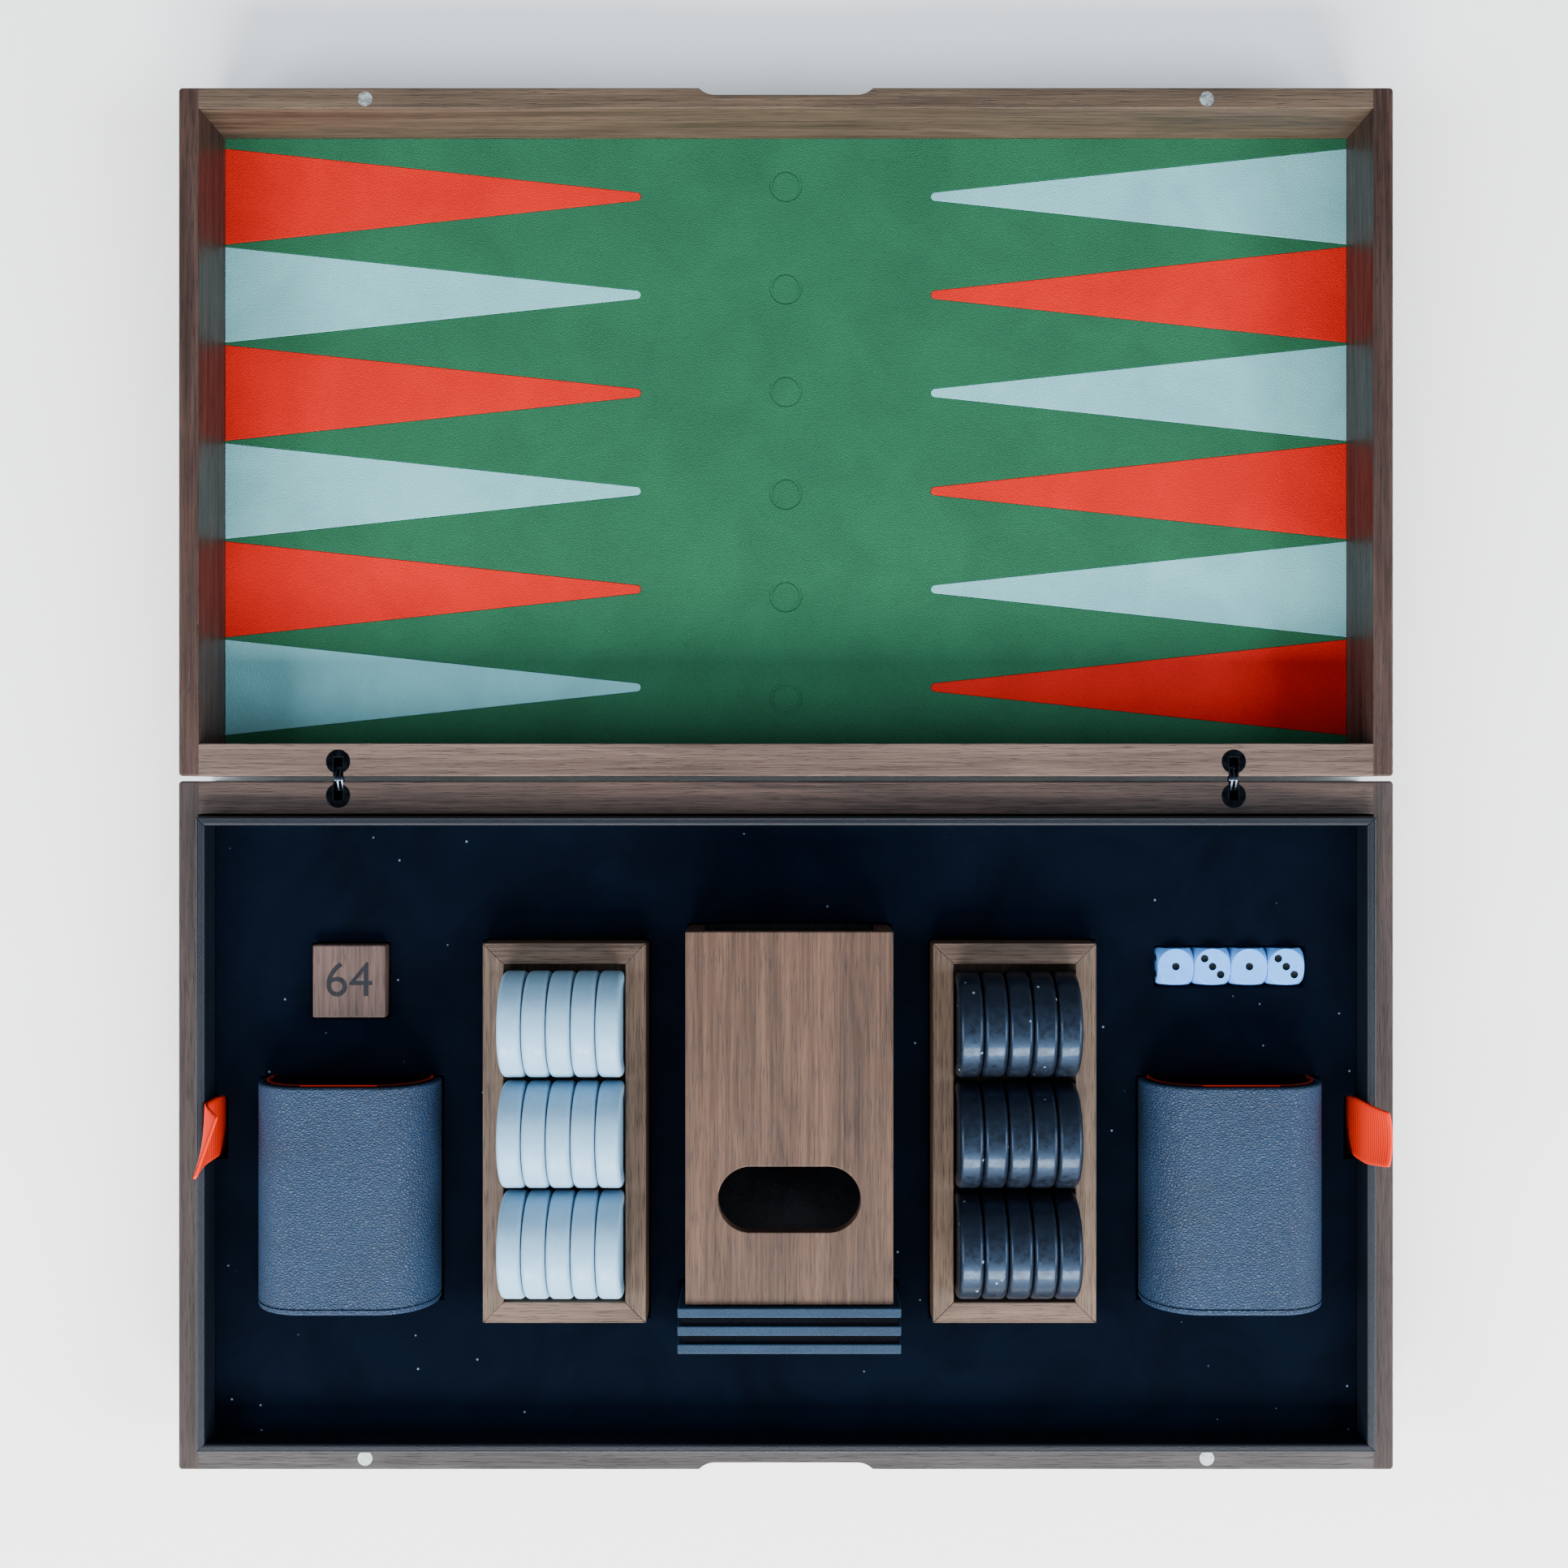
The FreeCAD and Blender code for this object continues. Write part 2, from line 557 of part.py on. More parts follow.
def foam_top():
    """The upper foam sheet, cut right through for every piece."""
    sheet = block(-FOAM_X, FOAM_X, FOAM_FRONT_Y, FOAM_BACK_Y, FOAM_MID, FOAM_TOP)
    low = FOAM_MID - OVERCUT
    high = FOAM_TOP + OVERCUT
    grow = POCKET_CLEARANCE
    cube_x, cube_y = CUBE_PLACE
    dice_x, dice_y = DICE_PLACE
    tower_x, tower_y = TOWER_PLACE
    cuts = [
        pocket(cube_x, cube_y - CUBE / 2, cube_y + CUBE / 2, CUBE, grow, low, high),
        pocket(dice_x, dice_y - DIE / 2, dice_y + DIE / 2, DICE_SPAN, grow, low, high),
        pocket(tower_x, tower_y, TOWER_FOOT_Y, TOWER_WIDTH, grow, low, high),
        pocket(tower_x, TOWER_FOOT_Y, TOWER_FOOT_Y - PLINTH_LENGTH, PLATE_X, grow, low, high),
        ribbon_slot(-1),
        ribbon_slot(1),
    ]
    for x in CUP_X.values():
        cuts.append(pocket(x, CUP_FOOT_Y, CUP_MOUTH_Y, CUP_WIDTH, grow, low, high))
    for x, y in BOX_PLACE.values():
        cuts.append(pocket(x, y - BOX_Y / 2, y + BOX_Y / 2, BOX_X, grow, low, high))
    for cut in cuts:
        sheet = sheet.cut(cut)
    return sheet


def foam_base():
    """The lower foam sheet, hollowed for the pieces that stand deeper."""
    sheet = block(-FOAM_X, FOAM_X, FOAM_FRONT_Y, FOAM_BACK_Y, FOAM_BOTTOM, FOAM_MID)
    grow = POCKET_CLEARANCE
    high = FOAM_MID + OVERCUT
    low = FOAM_BOTTOM - OVERCUT
    cube_x, cube_y = CUBE_PLACE
    sheet = sheet.cut(pocket(cube_x, cube_y - CUBE / 2, cube_y + CUBE / 2, CUBE, grow, low, high))
    plinth_floor = FOAM_MID - PLATE_PROUD - BED_CLEARANCE
    plinth_end = TOWER_FOOT_Y - PLINTH_LENGTH
    sheet = sheet.cut(pocket(TOWER_PLACE[0], TOWER_FOOT_Y, plinth_end, PLATE_X, grow, plinth_floor, high))
    for x in CUP_X.values():
        bed = cup_body(
            x, CUP_WIDTH + 2 * grow, CUP_THICK + 2 * BED_CLEARANCE,
            CUP_MOUTH_Y + grow, CUP_FOOT_Y - grow, CUP_ROUND,
        )
        sheet = sheet.cut(bed)
    return sheet


def tray():
    """The tray's pieces, by name."""
    floor = block(
        -TRAY_X + TRAY_WALL, TRAY_X - TRAY_WALL,
        TRAY_FRONT_Y + TRAY_WALL, TRAY_BACK_Y - TRAY_WALL,
        TRAY_BOTTOM, FOAM_BOTTOM,
    )
    walls = mitred_walls(
        -TRAY_X, TRAY_X, TRAY_FRONT_Y, TRAY_BACK_Y,
        TRAY_BOTTOM, TRAY_TOP, TRAY_WALL, TRAY_EDGE_ROUND,
    )
    return {
        "tray_walls": walls,
        "tray_floor": [floor],
        "tray_foam_base": [foam_base()],
        "tray_foam_top": [foam_top()],
        "ribbon_left": [ribbon(-1)],
        "ribbon_right": [ribbon(1)],
    }


# ---- pieces that lie in the tray ---------------------------------------------------------

def cube_at(size, x, y, z):
    """A sharp cube standing at this height."""
    return block(x - size / 2, x + size / 2, y - size / 2, y + size / 2, z, z + size)


def doubling_cube():
    """The doubling cube, with eased edges, on the tray's floor."""
    cube = cube_at(CUBE, CUBE_PLACE[0], CUBE_PLACE[1], FOAM_BOTTOM)
    return cube.makeFillet(CUBE_ROUND, cube.Edges)


def dice():
    """A row of dice, each the shape that a cube and a ball share."""
    made = {}
    first = DICE_PLACE[0] - DICE_SPAN / 2 + DIE / 2
    ball_radius = math.hypot(DIE / 2, DIE_FACE_R)
    for number in range(DICE_COUNT):
        x = first + number * (DIE + DIE_GAP)
        ball = Part.makeSphere(ball_radius, Vector(x, DICE_PLACE[1], FOAM_MID + DIE / 2))
        made[f"die_{number + 1}"] = [cube_at(DIE, x, DICE_PLACE[1], FOAM_MID).common(ball)]
    return made


def checker(x, y, z):
    """One checker on edge, its axis along X, with a shallow dish in both faces."""
    half = CHECKER_THICK / 2
    bevel = CHECKER_ROUND * (1 - math.sqrt(0.5))
    dish_rim = CHECKER_DISH_R + CHECKER_DISH_BLEND
    dish_floor = half - CHECKER_DISH_DEPTH

    def spot(along, out):
        return Vector(along, out, 0)

    half_profile = [
        Part.makeLine(spot(-dish_floor, 0), spot(-dish_floor, CHECKER_DISH_R)),
        Part.makeLine(spot(-dish_floor, CHECKER_DISH_R), spot(-half, dish_rim)),
        Part.makeLine(spot(-half, dish_rim), spot(-half, CHECKER_R - CHECKER_ROUND)),
        Part.Arc(
            spot(-half, CHECKER_R - CHECKER_ROUND),
            spot(-half + bevel, CHECKER_R - bevel),
            spot(-half + CHECKER_ROUND, CHECKER_R),
        ).toShape(),
        Part.makeLine(spot(-half + CHECKER_ROUND, CHECKER_R), spot(half - CHECKER_ROUND, CHECKER_R)),
        Part.Arc(
            spot(half - CHECKER_ROUND, CHECKER_R),
            spot(half - bevel, CHECKER_R - bevel),
            spot(half, CHECKER_R - CHECKER_ROUND),
        ).toShape(),
        Part.makeLine(spot(half, CHECKER_R - CHECKER_ROUND), spot(half, dish_rim)),
        Part.makeLine(spot(half, dish_rim), spot(dish_floor, CHECKER_DISH_R)),
        Part.makeLine(spot(dish_floor, CHECKER_DISH_R), spot(dish_floor, 0)),
        Part.makeLine(spot(dish_floor, 0), spot(-dish_floor, 0)),
    ]
    solid = Part.Face(Part.Wire(half_profile)).revolve(Vector(0, 0, 0), Vector(1, 0, 0), 360)
    solid.translate(Vector(x, y, z))
    return solid


def checker_box(name):
    """A mitred box with a let-in floor, and its three rows of checkers."""
    x, y = BOX_PLACE[name]
    z = FOAM_MID
    walls = mitred_walls(
        x - BOX_X / 2, x + BOX_X / 2, y - BOX_Y / 2, y + BOX_Y / 2,
        z, z + BOX_HEIGHT, BOX_WALL, BOX_EDGE_ROUND,
    )
    floor = block(
        x - BOX_INNER_X / 2 - BOX_TONGUE, x + BOX_INNER_X / 2 + BOX_TONGUE,
        y - BOX_INNER_Y / 2 - BOX_TONGUE, y + BOX_INNER_Y / 2 + BOX_TONGUE,
        z, z + BOX_FLOOR,
    )
    made = {
        f"{name}_box_walls": [wall.cut(floor) for wall in walls],
        f"{name}_box_floor": [floor],
    }
    pitch = CHECKER_THICK + CHECKER_GAP
    centre_z = z + BOX_FLOOR + CHECKER_GAP + CHECKER_R
    for row in range(ROWS):
        row_y = y + (1 - row) * ROW_PITCH
        first = x - (CHECKERS_PER_ROW - 1) * pitch / 2
        discs = [checker(first + number * pitch, row_y, centre_z) for number in range(CHECKERS_PER_ROW)]
        made[f"{name}_checkers_{row + 1}"] = discs
    return made


def cup(name):
    """A dice cup lying on its side: a covered shell, a lining and a closed base."""
    x = CUP_X[name]
    base_y = CUP_FOOT_Y + CUP_BASE
    lip_y = CUP_MOUTH_Y + CUP_LIP
    outer = cup_body(x, CUP_WIDTH, CUP_THICK, CUP_MOUTH_Y, base_y, CUP_ROUND)
    hollow = cup_body(
        x, CUP_WIDTH - 2 * CUP_WALL, CUP_THICK - 2 * CUP_WALL,
        lip_y, base_y, CUP_ROUND - CUP_WALL,
    )
    inside = CUP_WALL + CUP_LINING
    bore = cup_body(
        x, CUP_WIDTH - 2 * inside, CUP_THICK - 2 * inside,
        lip_y, base_y, CUP_ROUND - inside,
    )
    base = cup_body(x, CUP_WIDTH, CUP_THICK, base_y, CUP_FOOT_Y, CUP_ROUND)
    return {
        f"{name}_cup_shell": [outer.cut(hollow)],
        f"{name}_cup_lining": [hollow.cut(bore)],
        f"{name}_cup_base": [rounded(base, CUP_BASE_ROUND, lambda edge: at_place_y(edge, CUP_FOOT_Y))],
    }


def baffle(y_low, z_low, y_high, z_high):
    """A flat board across the inside of the tower, between two places in its depth."""
    inner = TOWER_WIDTH / 2 - TOWER_WALL
    left = TOWER_PLACE[0] - inner
    outline = Part.makePolygon([
        Vector(left, y_low, z_low),
        Vector(left, y_high, z_high),
        Vector(left, y_high - BAFFLE_THICK, z_high),
        Vector(left, y_low - BAFFLE_THICK, z_low),
        Vector(left, y_low, z_low),
    ])
    return Part.Face(outline).extrude(Vector(2 * inner, 0, 0))


def window_hole(x, z0, z1):
    """What the window takes out of the tower's front: a slot across it with round ends."""
    radius = WINDOW_WIDTH / 2
    straight = (WINDOW_LENGTH - WINDOW_WIDTH) / 2
    hole = block(x - straight, x + straight, WINDOW_Y - radius, WINDOW_Y + radius, z0, z1)
    for end in (-1, 1):
        hole = hole.fuse(disc(radius, z1 - z0, Vector(x + end * straight, WINDOW_Y, z0), Vector(0, 0, 1)))
    return hole.removeSplitter()


def plinth(x, z, top):
    """The stepped foot: plates proud of the tube, parted by narrower spacers, below a thin neck."""
    left = x - TOWER_WIDTH / 2
    right = x + TOWER_WIDTH / 2
    y = TOWER_FOOT_Y
    neck = block(
        left + NECK_INSET, right - NECK_INSET, y - NECK_THICK, y,
        z + NECK_INSET, top - NECK_INSET,
    )
    plates = []
    spacers = [neck]
    y -= NECK_THICK
    step = PLINTH_STEP - SPACER_INSET
    proud = PLATE_PROUD - SPACER_INSET
    for number in range(PLATE_COUNT):
        if number > 0:
            spacers.append(block(left - step, right + step, y - SPACER_THICK, y, z - proud, top + proud))
            y -= SPACER_THICK
        slab = block(
            left - PLINTH_STEP, right + PLINTH_STEP, y - PLATE_THICK, y,
            z - PLATE_PROUD, top + PLATE_PROUD,
        )
        plates.append(slab.makeFillet(PLATE_EDGE_ROUND, slab.Edges))
        y -= PLATE_THICK
    return plates, spacers


def dice_tower():
    """The dice tower, lying on its back, with its foot towards the front of the case."""
    x, mouth = TOWER_PLACE
    z = FOAM_MID
    foot = TOWER_FOOT_Y
    left = x - TOWER_WIDTH / 2
    right = x + TOWER_WIDTH / 2
    low = z + TOWER_WALL
    high = z + TOWER_DEPTH - TOWER_WALL
    top = z + TOWER_DEPTH

    front = block(left, right, foot, mouth, high, top)
    front = rounded(front, TOWER_EDGE_ROUND, lambda edge: at_height(edge, top))
    front = front.cut(window_hole(x, high - OVERCUT, top + OVERCUT))
    back = block(left, right, foot, mouth, z, low)
    sides = [
        block(left, left + TOWER_WALL, foot, mouth, low, high),
        block(right - TOWER_WALL, right, foot, mouth, low, high),
    ]
    first = mouth - BAFFLE_START
    second = first - BAFFLE_PITCH
    sill = WINDOW_Y - WINDOW_WIDTH / 2
    baffles = [
        baffle(first, high, first - BAFFLE_REACH, high - BAFFLE_REACH),
        baffle(second, low, second - BAFFLE_REACH, low + BAFFLE_REACH),
        baffle(sill + high - low, low, sill, high),
    ]
    plates, spacers = plinth(x, z, top)
    return {
        "tower_front": [front],
        "tower_back": [back],
        "tower_sides": sides,
        "tower_baffles": baffles,
        "tower_plinth_plates": plates,
        "tower_plinth_spacers": spacers,
    }


def all_pieces():
    """Every piece of the set, by node name."""
    pieces = {}
    for name, shapes in half_case(0, LID_ARM_PLACES).items():
        pieces[f"lid_{name}"] = shapes
    for name, shapes in half_case(1, BASE_ARM_PLACES).items():
        pieces[f"base_{name}"] = [across_hinge(shape) for shape in shapes]
    pieces.update(tray())
    for name in BOX_PLACE:
        pieces.update(checker_box(name))
    for name in CUP_X:
        pieces.update(cup(name))
    pieces.update(dice_tower())
    pieces["doubling_cube"] = [doubling_cube()]
    pieces.update(dice())
    return pieces


def main():
    """Write one STEP file for each node."""
    os.makedirs("parts", exist_ok=True)
    for name, shapes in all_pieces().items():
        solids = [solid for shape in shapes for solid in shape.Solids]
        shape = solids[0] if len(solids) == 1 else Part.makeCompound(solids)
        shape.exportStep(f"parts/{name}.step")
        print(name, len(solids), all(solid.isValid() for solid in solids))


main()
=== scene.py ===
import sys

import logging
import math
from contextlib import contextmanager
from dataclasses import dataclass
from enum import Enum
from functools import lru_cache
from typing import Any, Callable, Iterator

import bmesh
import bpy
from mathutils import Euler, Matrix, Vector


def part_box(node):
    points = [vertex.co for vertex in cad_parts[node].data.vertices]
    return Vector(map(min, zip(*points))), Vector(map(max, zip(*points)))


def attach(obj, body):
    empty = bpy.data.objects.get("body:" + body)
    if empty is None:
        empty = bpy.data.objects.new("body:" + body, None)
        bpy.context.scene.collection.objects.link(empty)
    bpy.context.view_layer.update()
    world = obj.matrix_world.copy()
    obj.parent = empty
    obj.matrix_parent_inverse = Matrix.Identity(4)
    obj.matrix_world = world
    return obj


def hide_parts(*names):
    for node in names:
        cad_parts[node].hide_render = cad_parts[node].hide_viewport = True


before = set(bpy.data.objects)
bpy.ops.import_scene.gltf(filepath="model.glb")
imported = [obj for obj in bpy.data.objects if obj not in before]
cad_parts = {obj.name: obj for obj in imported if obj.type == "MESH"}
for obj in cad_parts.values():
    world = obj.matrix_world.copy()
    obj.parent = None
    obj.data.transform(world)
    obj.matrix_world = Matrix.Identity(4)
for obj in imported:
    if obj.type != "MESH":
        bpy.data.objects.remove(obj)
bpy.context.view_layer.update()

# The looks of a backgammon set in a hinged walnut case, opened flat. Metres, in the frame of the
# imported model: +X to the right along the hinge line, +Y towards the lid half, +Z up.

MM = 0.001
LOG = logging.getLogger("backgammon_set")
NEAR = 1e-6                     # places closer than this are the same
JUST_INSIDE = 0.05 * MM         # depth at which a face's board is looked up

Paint = tuple[float, float, float, float]
Socket = bpy.types.NodeSocket
Piece = bpy.types.Object


# ---- colour ------------------------------------------------------------------------------

def paint(red: float, green: float, blue: float) -> Paint:
    """A linear colour from display values between 0 and 255.

    Args:
        red: Red display value.
        green: Green display value.
        blue: Blue display value.

    Returns:
        The linear colour with full alpha.
    """
    def linear(value: float) -> float:
        """One channel without its display curve."""
        share = value / 255
        return share / 12.92 if share <= 0.04045 else ((share + 0.055) / 1.055) ** 2.4

    return (linear(red), linear(green), linear(blue), 1.0)


def shaded(colour: Paint, factor: float) -> Paint:
    """The same colour, lighter or darker.

    Args:
        colour: A linear colour.
        factor: What each channel is multiplied by.

    Returns:
        The new linear colour.
    """
    return (colour[0] * factor, colour[1] * factor, colour[2] * factor, 1.0)


# ---- working on meshes -------------------------------------------------------------------

def clear_selection() -> None:
    """Deselect every object."""
    bpy.ops.object.select_all(action="DESELECT")


def activate(piece: Piece) -> None:
    """Make this piece the only selected object, and the active one."""
    clear_selection()
    piece.select_set(True)
    bpy.context.view_layer.objects.active = piece


@contextmanager
def editing(piece: Piece) -> Iterator[Piece]:
    """Edit mode on one piece, which starts with nothing selected.

    Args:
        piece: The mesh object to edit.

    Yields:
        The same piece.
    """
    activate(piece)
    bpy.ops.object.mode_set(mode="EDIT")
    bpy.ops.mesh.select_mode(type="FACE")
    bpy.ops.mesh.select_all(action="DESELECT")
    try:
        yield piece
    finally:
        bpy.ops.object.mode_set(mode="OBJECT")


def pick_faces(piece: Piece, wanted: Callable[[Vector, Vector], bool]) -> None:
    """Select the faces that pass a test, and nothing else, in edit mode.

    Args:
        piece: The piece being edited.
        wanted: Takes a face's middle and its normal.
    """
    bpy.ops.mesh.select_mode(type="FACE")
    bpy.ops.mesh.select_all(action="DESELECT")
    mesh = bmesh.from_edit_mesh(piece.data)
    for face in mesh.faces:
        face.select_set(wanted(face.calc_center_median(), face.normal))
    bmesh.update_edit_mesh(piece.data)


def pick_edges(piece: Piece, wanted: Callable[[Vector, Vector], bool]) -> None:
    """Select the edges that pass a test, and nothing else, in edit mode.

    Args:
        piece: The piece being edited.
        wanted: Takes the places of an edge's two ends.
    """
    bpy.ops.mesh.select_mode(type="EDGE")
    bpy.ops.mesh.select_all(action="DESELECT")
    mesh = bmesh.from_edit_mesh(piece.data)
    for edge in mesh.edges:
        edge.select_set(wanted(edge.verts[0].co, edge.verts[1].co))
    bmesh.update_edit_mesh(piece.data)


def settle(piece: Piece) -> None:
    """Move a piece's place, turn and size into its mesh."""
    activate(piece)
    bpy.ops.object.transform_apply(location=True, rotation=True, scale=True)


def new_object(name: str, data: Any) -> Piece:
    """An object for a mesh, light or camera, linked to the scene."""
    item = bpy.data.objects.new(name, data)
    bpy.context.scene.collection.objects.link(item)
    return item


def join(pieces: list[Piece]) -> Piece:
    """Join pieces into the first of them.

    Args:
        pieces: The pieces, at least one.

    Returns:
        The joined piece.
    """
    activate(pieces[0])
    for piece in pieces[1:]:
        piece.select_set(True)
    bpy.ops.object.join()
    return bpy.context.object


def turn_outwards() -> None:
    """Point every normal of the piece being edited outwards."""
    bpy.ops.mesh.select_all(action="SELECT")
    bpy.ops.mesh.normals_make_consistent(inside=False)


def apply_modifier(piece: Piece, kind: str, **settings: Any) -> None:
    """Add one modifier to a piece and apply it.

    Args:
        piece: The mesh object.
        kind: The modifier's type.
        **settings: The modifier's own settings.
    """
    modifier = piece.modifiers.new(kind.title(), kind)
    for key, value in settings.items():
        setattr(modifier, key, value)
    activate(piece)
    bpy.ops.object.modifier_apply(modifier=modifier.name)


def add_block(name: str, low: Vector, high: Vector) -> Piece:
    """A box between two corners, with its place in its mesh.

    Args:
        name: The new object's name.
        low: Lowest corner.
        high: Highest corner.

    Returns:
        The new object.
    """
    clear_selection()
    bpy.ops.mesh.primitive_cube_add(size=1, location=(low + high) / 2, scale=high - low)
    piece = bpy.context.object
    piece.name = name
    settle(piece)
    return piece


def ease(piece: Piece, width: float, segments: int = 3, sharper_than: float = 35) -> None:
    """Round every sharp edge of a piece, keeping its flat faces flat.

    Args:
        piece: The mesh object.
        width: How far the rounding reaches from each edge.
        segments: Steps in the rounding.
        sharper_than: Smallest turn, in degrees, that counts as an edge.
    """
    activate(piece)
    bpy.ops.object.shade_smooth()
    apply_modifier(
        piece, "BEVEL", width=width, segments=segments, limit_method="ANGLE",
        angle_limit=math.radians(sharper_than), use_clamp_overlap=False, harden_normals=True,
    )


def smooth_faces(piece: Piece, angle: float = 40) -> None:
    """Shade a piece smooth up to an angle, with normals that follow its larger faces."""
    activate(piece)
    bpy.ops.object.shade_smooth_by_angle(angle=math.radians(angle))
    apply_modifier(piece, "WEIGHTED_NORMAL", keep_sharp=True, weight=60)


def copy_of_node(
    node: str, name: str, unwanted: Callable[[Vector, Vector], bool] | None = None,
) -> Piece:
    """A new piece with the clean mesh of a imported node: its triangles joined into whole faces.

    Args:
        node: The node to copy.
        name: The new object's name.
        unwanted: Takes a face's middle and its normal, and says which faces are left out.

    Returns:
        The new object.
    """
    piece = new_object(name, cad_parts[node].data.copy())
    piece.data.materials.clear()
    with editing(piece):
        if unwanted is not None:
            pick_faces(piece, unwanted)
            bpy.ops.mesh.delete(type="FACE")
        bpy.ops.mesh.select_all(action="SELECT")
        bpy.ops.mesh.customdata_custom_splitnormals_clear()
        bpy.ops.mesh.remove_doubles(threshold=NEAR)
        bpy.ops.mesh.dissolve_limited(angle_limit=math.radians(0.5))
    return piece


def side_of_frame(place: Vector, low: Vector, high: Vector) -> int:
    """The side of a rectangle that a place is nearest to: left, right, front or back, from 0 to 3."""
    gaps = [place.x - low.x, high.x - place.x, place.y - low.y, high.y - place.y]
    return gaps.index(min(gaps))


def mitred_boards(node: str, name: str, edge: float, segments: int) -> Piece:
    """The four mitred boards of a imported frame, each with its own rounded edges.

    Args:
        node: The node whose boards meet at mitres.
        name: The new object's name.
        edge: Rounding of the boards' edges, which opens a fine groove along each mitre.
        segments: Steps in the rounding.

    Returns:
        The new object, with the boards along X in its second material slot.
    """
    low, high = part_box(node)
    boards = []
    for side in range(4):
        def on_another(middle: Vector, normal: Vector, own: int = side) -> bool:
            """True for a face of one of the other three boards."""
            return side_of_frame(middle - normal * JUST_INSIDE, low, high) != own

        board = copy_of_node(node, name, on_another)
        ease(board, edge, segments, 30)
        boards.append(board)
    piece = join(boards)
    for face in piece.data.polygons:
        face.material_index = side_of_frame(face.center - face.normal * JUST_INSIDE, low, high) // 2
    return piece


def copy_of_piece(piece: Piece, name: str, place: Matrix) -> Piece:
    """A copy of a piece with its own mesh, put elsewhere.

    Args:
        piece: The piece to copy.
        name: The new object's name.
        place: How the copy's mesh is moved.

    Returns:
        The new object.
    """
    twin = new_object(name, piece.data.copy())
    twin.data.transform(place)
    return twin


def dress(
    piece: Piece, body: str, slot: str, *finishes: "Finish", replaces: tuple[str, ...] = (),
) -> None:
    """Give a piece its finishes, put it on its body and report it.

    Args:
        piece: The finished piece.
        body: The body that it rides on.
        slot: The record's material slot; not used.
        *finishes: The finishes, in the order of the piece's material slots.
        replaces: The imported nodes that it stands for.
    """
    worn = piece.data.materials
    for number, finish in enumerate(finishes):
        if number < len(worn):
            worn[number] = material_of(finish)
        else:
            worn.append(material_of(finish))
    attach(piece, body)
    if replaces:
        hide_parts(*replaces)
    LOG.info("%s on %s: %d faces", piece.name, body, len(piece.data.polygons))


def finish_node(node: str, finish: "Finish") -> None:
    """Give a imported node, which keeps its own mesh, its finish."""
    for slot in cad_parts[node].material_slots:
        slot.material = material_of(finish)
    LOG.info("%s keeps its shape, in %s", node, type(finish).__name__)


# ---- finishes ----------------------------------------------------------------------------

class Grain(Enum):
    """The way that a board's grain runs."""

    ALONG_X = 0
    ALONG_Y = 1
    ALONG_Z = 2

    def stretch(self, along: float) -> Vector:
        """The scale of a pattern that runs along the grain.

        Args:
            along: Scale along the grain, where across it is 1.

        Returns:
            The scale along X, Y and Z.
        """
        scale = Vector((1, 1, 1))
        scale[self.value] = along
        return scale


